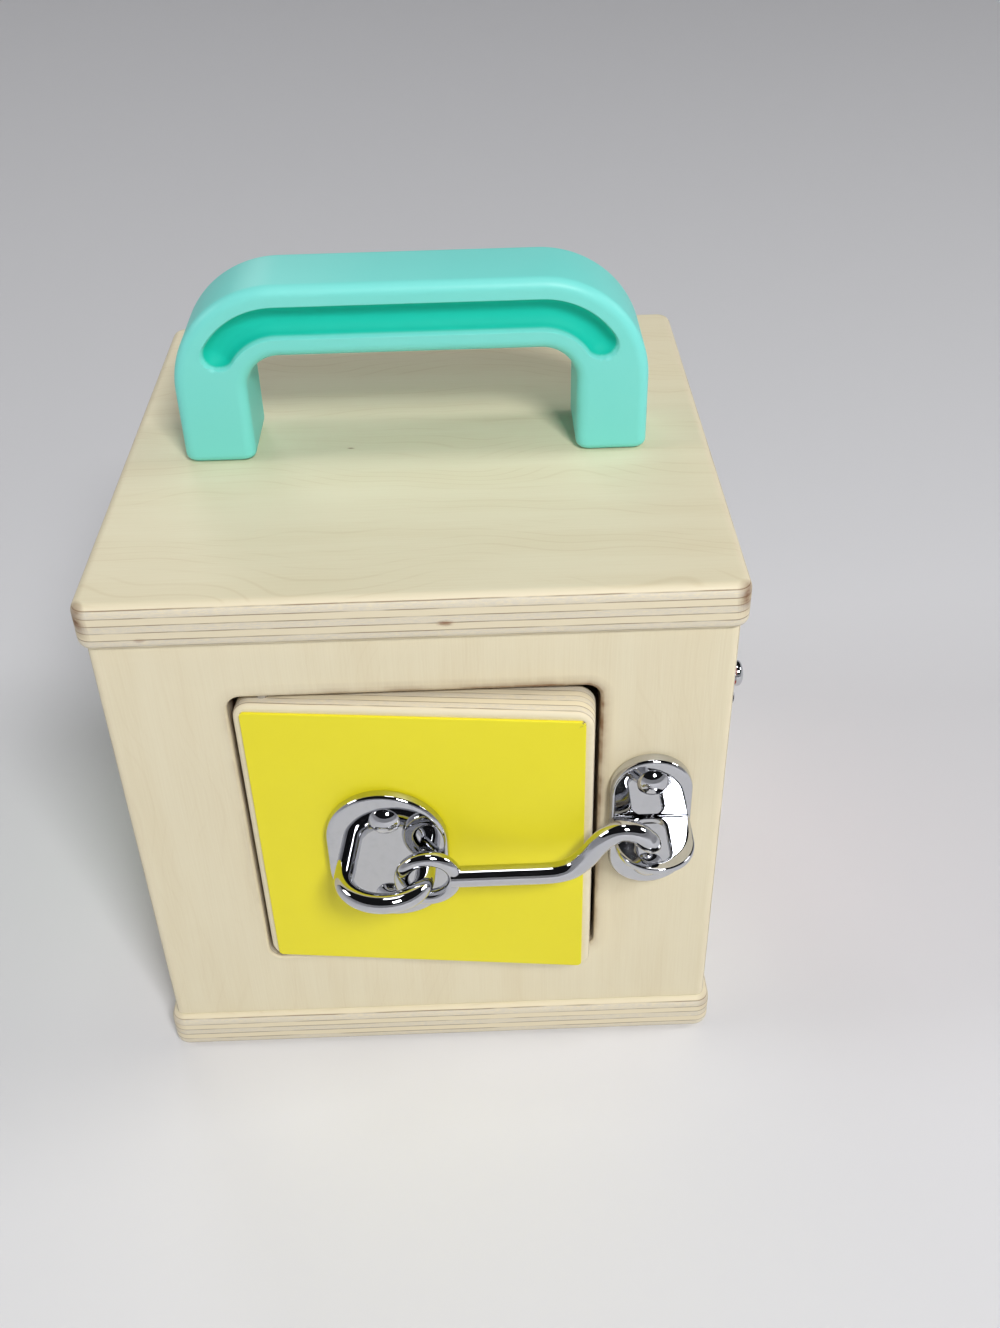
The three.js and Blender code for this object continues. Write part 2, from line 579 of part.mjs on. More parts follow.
// the back wall and door, with the hasp and the turn staple
function backSide() {
  const z = latchHeight;
  const leafFront = latchBack - latchPlate;
  const haspY = leafFront - haspKnuckle + 0.5;
  const leafX = haspX - haspKnuckle - seat - haspLeaf / 2;
  const leafScrewZ = [z + 7, z - 7];
  const leafHoles = leafScrewZ.map((at) => screwHole(leafX - 2, at));
  const stapleX = haspX + haspSlotX;
  const baseScrewZ = [z + turnPlateSpacing / 2, z - turnPlateSpacing / 2];
  const baseHoles = baseScrewZ.map((at) => screwHole(stapleX, at));
  const { moving, fixed } = door('back', blue, leafHoles);

  // the leaf has the outer knuckles and the strap has the middle one
  const third = haspHeight / 6;
  const pinHole = alongZ(haspPin + running, z - haspHeight, z + haspHeight, haspX, haspY);
  const leafShape = roundedRect(haspLeaf, haspHeight, 2, leafX, z);
  const outer = [[z - haspHeight / 2, z - third - seat], [z + third + seat, z + haspHeight / 2]];
  const leafKnuckles = outer.map(([low, high]) => alongZ(haspKnuckle, low, high, haspX, haspY));
  const webs = outer.map(([low, high]) => block(leafX, haspX, leafFront, latchBack, low, high));
  const leaf = join([upright(leafShape, latchPlate, latchBack, 0.5), ...webs, ...leafKnuckles]);
  const strapLow = haspY - latchPlate / 2;
  const strapEnd = haspX + haspKnuckle + haspStrapStart;
  const strapHeight = haspHeight - 2 * haspStrapInset;
  const strapShape = roundedRect(haspReach, strapHeight, haspStrapCorner, strapEnd + haspReach / 2, z);
  const slot = roundedRect(haspSlotWidth, haspSlotHeight, haspSlotCorner, stapleX, z);
  const strapParts = [
    upright(strapShape, latchPlate, strapLow + latchPlate, 0.5),
    block(haspX, strapEnd + haspKnuckle, strapLow, strapLow + latchPlate, z - third, z + third),
    alongZ(haspKnuckle, z - third, z + third, haspX, haspY),
  ];
  const strap = cut(join(strapParts), [pinHole, upright(slot, latchPlate + 4, strapLow + latchPlate + 2)]);
  moving.push(
    piece('hasp_leaf', cut(leaf, [pinHole, ...leafHoles]), chrome),
    piece('hasp_pin', alongZ(haspPin, z - haspHeight / 2, z + haspHeight / 2, haspX, haspY), chrome),
    screw('hasp_leaf_screw_top', leafX - 2, leafFront - seat, leafScrewZ[0]),
    screw('hasp_leaf_screw_bottom', leafX - 2, leafFront - seat, leafScrewZ[1]),
    turned([piece('hasp_strap', strap, chrome)], haspX, haspY, -haspOpen));

  const baseBack = -wallHalf;
  const baseFront = baseBack - latchPlate;
  const baseShape = roundedRect(turnPlateWidth, turnPlateHeight, turnPlateWidth / 2, stapleX, z);
  const base = upright(baseShape, latchPlate, baseBack, 0.5);
  const neckHole = alongY(turnNeck + running, baseFront - 2, baseBack + 2, stapleX, z);
  const headBack = strapLow - 1;
  const head = upright(
    roundedRect(turnThickness, turnHead, turnThickness / 2, stapleX, z), turnReach, headBack, 0.75, 3);
  const neck = alongY(turnNeck, headBack - 1, baseBack - seat, stapleX, z);
  fixed.push(
    wall('back_wall', 2 * wallHalf, true, baseHoles),
    piece('staple_plate', cut(base, [neckHole, ...baseHoles]), chrome),
    screw('staple_plate_screw_top', stapleX, baseFront - seat, baseScrewZ[0]),
    screw('staple_plate_screw_bottom', stapleX, baseFront - seat, baseScrewZ[1]),
    piece('turn_staple', join([head, neck]), chrome));
  return [...fixed, ...moving];
}

// the left wall and door, with the turn button
function leftSide() {
  const z = latchHeight;
  const { moving, fixed } = door('left', green, [screwHole(buttonX, z)]);
  const spacer = alongY(6, latchBack - buttonSpacer, latchBack, buttonX, z, 24);
  const buttonBack = latchBack - buttonSpacer - seat;
  const barShape = roundedRect(buttonWidth, buttonLength, buttonWidth / 2, buttonX, z);
  const bar = upright(barShape, buttonThickness, buttonBack, 0.75, 3);
  const pivot = alongY(screwShank + running, buttonBack - buttonThickness - 2, buttonBack + 2, buttonX, z);
  const headSeat = buttonBack - buttonThickness - seat;
  moving.push(
    piece('button_spacer', cut(spacer, [screwHole(buttonX, z)]), chrome),
    piece('turn_button', cut(bar, [pivot]), chrome),
    screw('button_screw', buttonX, headSeat, z, screwLength + buttonSpacer + buttonThickness));
  fixed.push(wall('left_wall', 2 * innerHalf, false, []));
  return [...fixed, ...moving];
}

const lockBox = new THREE.Group();
lockBox.name = 'lock_box';
lockBox.add(...carcase());
[frontSide, rightSide, backSide, leftSide].forEach((make, i) => {
  const side = new THREE.Group();
  side.rotation.z = (i * Math.PI) / 2;
  side.add(...make());
  lockBox.add(side);
});

export default lockBox;
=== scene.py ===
import math

import bmesh
import bpy
import numpy as np
from mathutils import Matrix


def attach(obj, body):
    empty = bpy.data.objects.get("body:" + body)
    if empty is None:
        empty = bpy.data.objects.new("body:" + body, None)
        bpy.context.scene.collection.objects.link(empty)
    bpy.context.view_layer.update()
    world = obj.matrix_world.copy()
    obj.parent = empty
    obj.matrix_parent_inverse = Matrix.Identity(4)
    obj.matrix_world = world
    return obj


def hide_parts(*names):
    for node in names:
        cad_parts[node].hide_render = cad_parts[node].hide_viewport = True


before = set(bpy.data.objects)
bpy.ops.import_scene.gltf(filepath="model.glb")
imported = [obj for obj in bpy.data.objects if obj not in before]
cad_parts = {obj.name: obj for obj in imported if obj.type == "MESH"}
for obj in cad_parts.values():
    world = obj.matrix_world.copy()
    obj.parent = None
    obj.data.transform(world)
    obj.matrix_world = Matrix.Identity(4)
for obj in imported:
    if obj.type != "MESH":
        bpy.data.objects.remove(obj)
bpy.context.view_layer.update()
mm = 0.001
quarter = np.pi / 2


class Wire:
    # a shader socket: arithmetic on it adds Math nodes, and node() adds any other kind
    def __init__(self, tree, socket=None):
        self.tree = tree
        self.socket = socket

    def node(self, kind, settings, inputs, output=0):
        # settings first, then the values or links of its sockets
        made = self.tree.nodes.new("ShaderNode" + kind)
        for key, value in settings.items():
            setattr(made, key, value)
        for key, value in inputs.items():
            if isinstance(value, Wire):
                self.tree.links.new(value.socket, made.inputs[key])
            else:
                made.inputs[key].default_value = value
        return Wire(self.tree, made.outputs[output])

    def math(self, operation, *others):
        # this value comes first, then the others
        return self.node("Math", {"operation": operation}, dict(enumerate((self, *others))))

    def reflected(self, operation, other):
        # the other value comes first, as in 1 - mask
        return self.node("Math", {"operation": operation}, {0: other, 1: self})

    def __add__(self, other):
        return self.math("ADD", other)

    def __radd__(self, other):
        return self.reflected("ADD", other)

    def __sub__(self, other):
        return self.math("SUBTRACT", other)

    def __rsub__(self, other):
        return self.reflected("SUBTRACT", other)

    def __mul__(self, other):
        return self.math("MULTIPLY", other)

    def __rmul__(self, other):
        return self.reflected("MULTIPLY", other)

    def __truediv__(self, other):
        return self.math("DIVIDE", other)

    def __rtruediv__(self, other):
        return self.reflected("DIVIDE", other)


def tint(red, green, blue):
    # a screen colour of 0 to 255 as the linear colour that a shader takes
    share = np.array([red, green, blue]) / 255
    linear = np.where(share <= 0.04045, share / 12.92, ((share + 0.055) / 1.055) ** 2.4)
    return (*linear.tolist(), 1.0)


def newMaterial(name):
    # a node material with its shader, and a wire to add nodes from
    material = bpy.data.materials.new(name)
    material.use_nodes = True
    shader = material.node_tree.nodes["Principled BSDF"]
    return material, Wire(material.node_tree), shader


def feed(shader, **values):
    # plain values are set on the shader's own sockets, and what varies is linked
    for key, value in values.items():
        socket = shader.inputs[key.replace("_", " ")]
        if isinstance(value, Wire):
            value.tree.links.new(value.socket, socket)
        else:
            socket.default_value = value


def mixColour(factor, first, second):
    # the first colour where factor is 0, the second where it is 1
    settings = {"data_type": "RGBA", "clamp_factor": True}
    return factor.node("Mix", settings, {0: factor, 6: first, 7: second}, 2)


def stretched(vector, scale, shift=(0, 0, 0)):
    # each part of the vector times its scale, plus its shift
    return vector.node("VectorMath", {"operation": "MULTIPLY_ADD"}, {0: vector, 1: scale, 2: shift})


def noise(vector, scale, detail=2.0, rough=0.5):
    # soft noise of about 0 to 1, scale waves to a unit of the vector
    inputs = {"Vector": vector, "Scale": scale, "Detail": detail, "Roughness": rough}
    return vector.node("TexNoise", {}, inputs)


def ramp(value, low, high):
    # 0 below low, 1 above high, and a smooth step between them
    settings = {"interpolation_type": "SMOOTHSTEP"}
    return value.node("MapRange", settings, {0: value, 1: low, 2: high, 3: 0.0, 4: 1.0})


def bump(height, strength, distance):
    # a normal that follows height, distance metres deep
    return height.node("Bump", {}, {"Strength": strength, "Distance": distance, "Height": height})


# birch plywood: pale faces with a fine grain, and edges of alternate long-grain and end-grain layers
birchLook = {
    "face": tint(233, 223, 193), "faceDark": tint(228, 216, 184), "line": tint(208, 190, 152),
    "long": tint(232, 220, 190), "end": tint(217, 209, 193), "glue": tint(142, 119, 88),
    "burn": tint(116, 76, 40), "knot": tint(138, 92, 56), "roughness": 0.5, "fibreRoughness": 0.14,
    # waves of each noise in a millimetre: along the grain, across it and in depth
    "fibre": (0.05, 2.4, 0.9), "broad": (0.012, 0.11, 0.11), "waver": (0.02, 0.03, 0.03),
    "pore": (0.45, 7.0, 3.0), "speck": (0.6, 0.6, 4.0), "ply": (0.05, 0.05, 0.0),
    "wear": (0.09, 0.09, 0.5), "scorch": (0.12, 0.12, 0.3),
    # growth rings to a millimetre across and along the grain, and how many rings the waver bends them by
    "ringsAcross": 0.3, "ringsAlong": 0.02, "ringBend": 9.0, "ringRamp": (0.36, 0.5),
    "ringPatch": (0.42, 0.6), "shadeRamp": (0.34, 0.68), "broadShare": 0.6, "poreRamp": (0.66, 0.74),
    "poreShare": 0.07,
    # layers: what sanding takes off the outer two, how far they wander, and the lines of glue between them
    "layers": 7, "sanded": 0.4, "wander": 0.2, "lastMargin": 0.02, "edgeRamp": (0.5, 0.8), "endShare": 0.9,
    "speckRamp": (0.35, 0.7), "glueRamp": (0.02, 0.1), "glueFrom": (0.7, 0.8), "glueTo": (0.5, 0.4),
    "wearRamp": (0.3, 0.6), "glueLeast": 0.2, "glueWear": 0.7,
    "scorchRamp": (0.34, 0.68), "scorchLeast": 0.7, "scorchPatch": 0.7,
    "knotStretch": (0.4, 1.0, 1.0), "knotRamp": (0.6, 1.6),
    "fibreHeight": 0.6, "endHeight": 0.25, "glueHeight": 0.6, "bump": (0.22, 0.0002),
}
# knots are (along, across, depth, size, strength)
woods = {
    "board": {
        "thickness": 12.0, "seed": 2.0, "grain": 0.27,
        "knots": [(7.0, -75.0, 7.0, 0.95, 0.8), (-60.5, -75.0, 9.0, 0.7, 0.4), (-17.0, -6.0, 0.0, 0.45, 0.7)],
    },
    "wall": {"thickness": 10.0, "seed": 7.0, "grain": 0.09},
    "door": {"thickness": 11.25, "seed": 13.0, "grain": 0.09},
}


def birchMaterial(name, thickness, seed, grain, knots=()):
    # place is (along the grain, across it, depth below the outer face) in millimetres. Growth rings are even
    # lines that a slow noise bends and shows in patches. Depth over the pitch counts the layers: glue lies
    # where the count is near a whole number, and every second layer shows end grain
    look = birchLook
    material, wire, shader = newMaterial(name)
    place = wire.node("Attribute", {"attribute_name": "place"}, {}, "Vector")
    burnt = wire.node("Attribute", {"attribute_name": "burn"}, {}, "Fac")
    along, across, below = (wire.node("SeparateXYZ", {}, {0: place}, i) for i in range(3))

    def grainNoise(kind, shift=(0, 0, 0), detail=2.0, rough=0.5):
        # noise drawn out along the grain
        return noise(stretched(place, look[kind], shift), 1.0, detail, rough)

    fibre = grainNoise("fibre", (seed, 0, 0), 3.0, 0.6)
    broad = grainNoise("broad", (0, seed, 0))
    waver = grainNoise("waver", (seed, seed, 0), 1.0)
    rings = across * look["ringsAcross"] + along * look["ringsAlong"] + waver * look["ringBend"]
    figure = ramp(rings.math("PINGPONG", 0.5), *look["ringRamp"]) * ramp(broad, *look["ringPatch"])
    pores = ramp(grainNoise("pore", detail=1.0), *look["poreRamp"])
    shade = broad * look["broadShare"] + fibre * (1 - look["broadShare"])
    face = mixColour(ramp(shade, *look["shadeRamp"]), look["face"], look["faceDark"])
    face = mixColour(figure * grain + pores * look["poreShare"], face, look["line"])

    pitch = thickness / (look["layers"] - 2 * look["sanded"])
    wander = grainNoise("ply", (seed, 3, 0)) * look["wander"]
    layer = ((below + wander) / pitch + look["sanded"]).math("MINIMUM", look["layers"] - look["lastMargin"])
    odd = layer.math("FLOOR").math("MODULO", 2.0)
    lastGlue = [look["layers"] - before for before in look["glueTo"]]
    glued = ramp(layer, *look["glueFrom"]) * (1 - ramp(layer, *lastGlue))
    glue = (1 - ramp(layer.math("PINGPONG", 0.5), *look["glueRamp"])) * glued
    speck = grainNoise("speck", detail=3.0, rough=0.7)
    endGrain = mixColour(ramp(speck, *look["speckRamp"]), look["end"], look["long"])
    edge = mixColour(ramp(layer, *look["edgeRamp"]), face, look["long"])
    edge = mixColour(odd * look["endShare"], edge, endGrain)
    worn = ramp(grainNoise("wear"), *look["wearRamp"])
    edge = mixColour(glue * (look["glueLeast"] + look["glueWear"] * worn), edge, look["glue"])
    patch = ramp(grainNoise("scorch", (0, seed, 5), 3.0, 0.6), *look["scorchRamp"])
    colour = mixColour(burnt * (look["scorchLeast"] + look["scorchPatch"] * patch), edge, look["burn"])
    for *middle, size, strength in knots:
        spot = stretched(place, look["knotStretch"])
        centre = np.multiply(middle, look["knotStretch"])
        away = wire.node("VectorMath", {"operation": "DISTANCE"}, {0: spot, 1: centre}, "Value")
        low, high = np.multiply(size, look["knotRamp"])
        colour = mixColour((1 - ramp(away + speck * size, low, high)) * strength, colour, look["knot"])
    height = fibre * look["fibreHeight"] + odd * look["endHeight"] - glue * look["glueHeight"]
    feed(shader, Base_Color=colour, Roughness=look["roughness"] + look["fibreRoughness"] * fibre,
         Normal=bump(height, *look["bump"]))
    return material


# chrome plate: a bright mirror with the faint waviness of cast and polished metal
chromeLook = {
    "colour": tint(203, 204, 208), "smeared": tint(186, 187, 190), "smearShare": 0.4, "roughness": 0.03,
    "haze": 0.04, "waves": 140.0, "smears": 420.0, "smearRamp": (0.45, 0.8), "bump": (0.05, 0.0006),
}


def chromeMaterial(name):
    # patches of noise dull the mirror, and a slow noise bends it
    look = chromeLook
    material, wire, shader = newMaterial(name)
    place = wire.node("TexCoord", {}, {}, "Object")
    smear = ramp(noise(place, look["smears"], 3.0, 0.6), *look["smearRamp"])
    shade = mixColour(smear * look["smearShare"], look["colour"], look["smeared"])
    feed(shader, Base_Color=shade, Metallic=1.0, Roughness=look["roughness"] + look["haze"] * smear,
         Normal=bump(noise(place, look["waves"], 1.0), *look["bump"]))
    return material


# moulded plastic: one colour, a satin skin with a very fine grain, paler rubbed places, and painted shade: a
# deeper colour where burn says that the surface is sunk, standing in for the shade inside the groove
mintLook = {
    # sunk is a painted shade colour for the inside of the groove
    "colour": tint(124, 226, 217), "rubbed": tint(134, 228, 220), "sunk": tint(0, 199, 176), "clouds": 60.0,
    "rubRamp": (0.4, 0.75), "rubShare": 0.3, "grooveShadeRamp": (0.22, 0.5), "roughness": 0.38,
    "cloudRoughness": 0.1, "sunkRoughness": 0.35, "specular": 0.42, "grain": 1500.0, "bump": (0.12, 0.0001),
}


def plasticMaterial(name, look):
    # clouds of noise make the rubbed places, and burn is the share of the full depth, which mixes in the sunk
    # colour as painted shade
    material, wire, shader = newMaterial(name)
    place = wire.node("TexCoord", {}, {}, "Object")
    cloud = noise(place, look["clouds"], 3.0)
    depth = wire.node("Attribute", {"attribute_name": "burn"}, {}, "Fac")
    shade = mixColour(ramp(cloud, *look["rubRamp"]) * look["rubShare"], look["colour"], look["rubbed"])
    # painted shade: the sunk colour darkens and deepens the groove as its depth grows
    shade = mixColour(ramp(depth, *look["grooveShadeRamp"]), shade, look["sunk"])
    rough = look["roughness"] + look["cloudRoughness"] * cloud + look["sunkRoughness"] * depth
    feed(shader, Base_Color=shade, Roughness=rough, Specular_IOR_Level=look["specular"],
         Normal=bump(noise(place, look["grain"]), *look["bump"]))
    return material


# facing: a thin printed sheet on a door, with bare crumbs where burn says that it is chipped
facingLook = {
    "clouds": 22.0, "cloudRamp": (0.3, 0.75), "cloudShare": 0.5, "crumbs": 1400.0, "crumbRamp": (0.47, 0.53),
    "bare": tint(120, 104, 74), "roughness": 0.42, "cloudRoughness": 0.1, "grain": 2600.0,
    "bump": (0.08, 0.0001),
    "colours": {
        "front": ("yellow", tint(241, 229, 34), tint(236, 222, 22)),
        "right": ("red", tint(212, 66, 56), tint(200, 56, 48)),
        "back": ("blue", tint(62, 142, 208), tint(52, 128, 196)),
        "left": ("green", tint(98, 184, 78), tint(86, 170, 68)),
    },
}


def facingMaterial(name, colour, deep):
    # clouds of noise deepen the colour, and a fine noise breaks each chip into crumbs
    look = facingLook
    material, wire, shader = newMaterial(name)
    place = wire.node("TexCoord", {}, {}, "Object")
    chipped = wire.node("Attribute", {"attribute_name": "burn"}, {}, "Fac")
    cloud = noise(place, look["clouds"], 3.0)
    crumbs = ramp(noise(place, look["crumbs"]), *look["crumbRamp"])
    shade = mixColour(ramp(cloud, *look["cloudRamp"]) * look["cloudShare"], colour, deep)
    shade = mixColour(chipped * crumbs, shade, look["bare"])
    feed(shader, Base_Color=shade, Roughness=look["roughness"] + look["cloudRoughness"] * cloud,
         Normal=bump(noise(place, look["grain"]), *look["bump"]))
    return material


wood = {name: birchMaterial(f"birch {name}", **settings) for name, settings in woods.items()}
chrome = chromeMaterial("chrome plate")
mint = plasticMaterial("mint plastic", mintLook)
facing = {
    side: facingMaterial(f"{word} facing", *pair)
    for side, (word, *pair) in facingLook["colours"].items()
}
print("materials:", len(bpy.data.materials))

meshing = {"mergeWithin": 1e-7, "sharpFrom": math.radians(38), "leastCorner": 0.02, "flatMargin": 0.4}


def gridFaces(rows, columns):
    # the four corner numbers of each cell of a grid whose rows are closed loops
    row, column = np.meshgrid(np.arange(rows - 1), np.arange(columns), indexing="ij")
    here, above = row * columns, (row + 1) * columns
    after = (column + 1) % columns
    return np.stack([here + column, here + after, above + after, above + column], -1).reshape(-1, 4)


def addObject(name, data):
    # a new object in the scene
    made = bpy.data.objects.new(name, data)
    bpy.context.scene.collection.objects.link(made)
    return made


def makePiece(node, surfaces, material, body):
    # each surface has a grid of points in millimetres, and may have a place and a burn for each of them; burn
    # is real scorch on wood and chips on a facing, and on the handle the groove's depth, which sets its
    # painted shade;
    # a grid that ends on its first row, or in a point, is closed when its doubles are merged
    words = node.split("_")
    name = words[0] + "".join(word.title() for word in words[1:])
    points, faces, place, burn = [], [], [], []
    count = 0
    for surface in surfaces:
        grid = surface["points"]
        points.append(grid.reshape(-1, 3) * mm)
        faces.append(gridFaces(*grid.shape[:2]) + count)
        place.append(surface.get("place", grid).reshape(-1, 3))
        burn.append(np.broadcast_to(surface.get("burn", 0.0), grid.shape[:2]).reshape(-1))
        count += len(points[-1])
    mesh = bpy.data.meshes.new(name)
    mesh.from_pydata(np.concatenate(points).tolist(), [], np.concatenate(faces).tolist())
    placeLayer = mesh.attributes.new("place", "FLOAT_VECTOR", "POINT")
    placeLayer.data.foreach_set("vector", np.concatenate(place).astype(np.float32).ravel())
    burnLayer = mesh.attributes.new("burn", "FLOAT", "POINT")
    burnLayer.data.foreach_set("value", np.concatenate(burn).astype(np.float32))
    shell = bmesh.new()
    shell.from_mesh(mesh)
    bmesh.ops.remove_doubles(shell, verts=shell.verts, dist=meshing["mergeWithin"])
    bmesh.ops.recalc_face_normals(shell, faces=shell.faces)
    shell.to_mesh(mesh)
    shell.free()
    mesh.polygons.foreach_set("use_smooth", np.ones(len(mesh.polygons), bool))
    mesh.set_sharp_from_angle(angle=meshing["sharpFrom"])
    mesh.materials.append(material)
    piece = addObject(name, mesh)
    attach(piece, body)
    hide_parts(node)


def outline(width, height, radius, inset=0.0, steps=8):
    # a rectangle drawn in by inset, each corner an arc about its own centre; radius may be four numbers
    radii = np.maximum(np.broadcast_to(np.array(radius, float), 4) - inset, meshing["leastCorner"])
    signs = np.array([[1, 1], [-1, 1], [-1, -1], [1, -1]])
    centres = signs * (np.array([width, height]) / 2 - inset - radii[:, None])
    turn = np.arange(4)[:, None] * quarter + np.linspace(0, quarter, steps + 1)
    arcs = np.stack([np.cos(turn), np.sin(turn)], -1) * radii[:, None, None]
    return (centres[:, None] + arcs).reshape(-1, 2)


def rounded(edge, steps):
    # a quarter round from the face to the side: (inset, depth) is edge times (1 - sine, 1 - cosine)
    turn = np.linspace(0, quarter, steps)
    return edge * (1 - np.stack([np.sin(turn), np.cos(turn)], -1))


def slab(rim, thickness, edge, steps=6, flatRows=(1.8, 0.3)):
    # rim(inset) is an outline; rows run from the middle of the front face to its rim, over a quarter
    # round, down the side, over another quarter round and in to the middle of the back face
    flat = [(edge + beyond, 0.0) for beyond in flatRows]
    inset, depth = np.concatenate([flat, rounded(edge, steps)]).T
    inset = np.concatenate([inset, inset[::-1]])
    depth = np.concatenate([depth, thickness - depth[::-1]])
    rows = np.stack([rim(i) for i in inset])
    rows = np.dstack([rows, np.broadcast_to(depth[:, None], rows.shape[:2])])
    shrink = np.array([0.0, 0.5])[:, None, None]
    front = np.dstack([rows[0, :, :2] * shrink, np.zeros((2, rows.shape[1]))])
    back = np.dstack([rows[-1, :, :2] * shrink[::-1], np.full((2, rows.shape[1]), thickness)])
    return np.concatenate([front, rows, back])


def framed(hole, rim, thickness, edge, steps=5):
    # a slab with a hole: hole(grow) and rim(inset) have matching points, and the rows run over the hole's
    # rounded front edge, out to the rim, over its rounded edges, and back in behind to where they began
    curve = rounded(edge, steps)
    flat = edge + meshing["flatMargin"]
    front = [(hole(grow), depth) for grow, depth in curve[::-1]] + [(hole(flat), 0.0)]
    front += [(rim(flat), 0.0)] + [(rim(inset), depth) for inset, depth in curve]
    rows = front + [(line, thickness - depth) for line, depth in front[::-1]] + front[:1]
    return np.stack([np.column_stack([line, np.full(len(line), depth)]) for line, depth in rows])


def lathe(profile, steps):
    # each (radius, height) of the profile carried once round the third axis
    radius, height = np.array(profile, float).T
    turn = np.arange(steps) * 2 * np.pi / steps
    ring = np.stack([np.cos(turn), np.sin(turn)], -1)
    flat = radius[:, None, None] * ring
    return np.dstack([flat, np.broadcast_to(height[:, None], flat.shape[:2])])


def pinBetween(radius, low, high, chamfer, steps):
    # a round pin with a chamfer at each end, as a profile turned once round
    ends = [(0, low), (radius - chamfer, low), (radius, low + chamfer)]
    return lathe([*ends, (radius, high - chamfer), (radius - chamfer, high), (0, high)], steps)


def smoothLine(points, count):
    # a curve through points: each span is the cubic whose slopes at its ends follow the neighbours
    knots = np.array(points, float)
    padded = np.concatenate([[2 * knots[0] - knots[1]], knots, [2 * knots[-1] - knots[-2]]])
    along = np.linspace(0, len(knots) - 1 - 1e-9, count)     # ends just inside the last span
    span = along.astype(int)
    t = (along - span)[:, None]
    a, b, c, d = (padded[span + k] for k in range(4))
    return 0.5 * (2 * b + (c - a) * t + (2 * a - 5 * b + 4 * c - d) * t**2 + (3 * b - a - 3 * c + d) * t**3)


def tube(path, ahead, side, wide, deep, steps):
    # an ellipse carried along a flat path: side is the direction square to the path's plane, deep is the
    # radius that way, and wide is the radius in the plane, across the direction ahead
    across = np.cross(ahead, side)
    turn = np.arange(steps)[:, None] * 2 * np.pi / steps
    wide = np.broadcast_to(wide, len(path))[:, None, None]
    deep = np.broadcast_to(deep, len(path))[:, None, None]
    return path[:, None] + wide * across[:, None] * np.cos(turn) + deep * np.array(side, float) * np.sin(turn)


def directions(path):
    # the way ahead at each point of a path, one unit long
    ahead = np.gradient(path, axis=0)
    return ahead / np.linalg.norm(ahead, axis=1, keepdims=True)


def closedEnds(grid):
    # a tube with each end drawn in to a point, so that it is closed
    ends = [np.broadcast_to(row.mean(0), row.shape)[None] for row in (grid[0], grid[-1])]
    return np.concatenate([ends[0], grid, ends[1]])


def facingOut(grid, x, y, z):
    # (across, up, depth) of a plate whose front is at y, as points in front of the box
    return np.stack([x + grid[..., 0], y + grid[..., 2], z + grid[..., 1]], -1)


def turnedAbout(grid, x, y, angle):
    # the points turned by angle degrees about the upright line at x and y
    c, s = math.cos(math.radians(angle)), math.sin(math.radians(angle))
    dx, dy = grid[..., 0] - x, grid[..., 1] - y
    return np.stack([x + c * dx - s * dy, y + s * dx + c * dy, grid[..., 2]], -1)


sideTurns = {"front": 0, "right": 90, "back": 180, "left": 270}
hinge = {"x": -36.25, "y": -70.75, "ajar": -5.5}


def onSide(grid, side, swings=False):
    # the front side's points carried to another side; a piece on the front door swings with it
    if swings and side == "front":
        grid = turnedAbout(grid, hinge["x"], hinge["y"], hinge["ajar"])
    return turnedAbout(grid, 0, 0, sideTurns[side])


def metalPiece(node, grids, side, body):
    # grids made as on the front side, carried to their own side and made one chrome piece
    surfaces = [{"points": onSide(grid, side, body == "front_door")} for grid in grids]
    makePiece(node, surfaces, chrome, body)


# top and bottom boards; each level is (top face, shift of the grain, strength of the corner marks)
boards = {
    "width": 150.0, "corner": 4.0, "edge": 2.5, "thickness": 12.0, "markDepth": 4.0,
    "levels": {"top": (150.0, 0.0, 1.6), "bottom": (12.0, 90.0, 0.4)},
}


def makeBoards():
    # corner marks are strongest on the rounded corners' rims and fade out along them
    b = boards
    grid = slab(lambda i: outline(b["width"], b["width"], b["corner"], i, 10), b["thickness"], b["edge"], 8)
    half = b["width"] / 2
    reach = np.hypot(half - np.abs(grid[..., 0]), half - np.abs(grid[..., 1]))
    mark = np.clip(1 - reach / b["corner"], 0, 1) * (grid[..., 2] < b["markDepth"])
    for name, (top, shift, strength) in b["levels"].items():
        points = np.stack([grid[..., 0], grid[..., 1], top - grid[..., 2]], -1)
        surface = {"points": points, "place": grid + (0, shift, 0), "burn": mark * strength}
        makePiece(f"{name}_board", [surface], wood["board"], "box")


makeBoards()
print("boards done")

# walls, each with its doorway
walls = {
    "widths": {"front": 146.5, "right": 126.5, "back": 146.5, "left": 126.5}, "height": 126.0, "low": 12.0,
    "rounds": {"front": 2.0, "right": 0.3, "back": 2.0, "left": 0.3}, "face": -73.25, "thickness": 10.0,
    "doorway": (86.5, 89.0), "doorwayAt": (-1.25, 78.25), "doorwayCorner": 3.5, "edge": 0.7,
    "backEdge": (1.0, 0.5),
    # rows beside the doorway, and how the scorch on them fades: with distance, to the left and downwards
    "strip": (1.0, 2.0, 3.5, 6.0), "scorch": 0.75, "scorchReach": 3.2, "scorchFall": 1.5, "cutScorch": 0.95,
    "fadeAcross": (0.0, 30.0, 0.25), "fadeDown": (-20.0, 40.0, 0.35), "grainShift": 2.0,
}


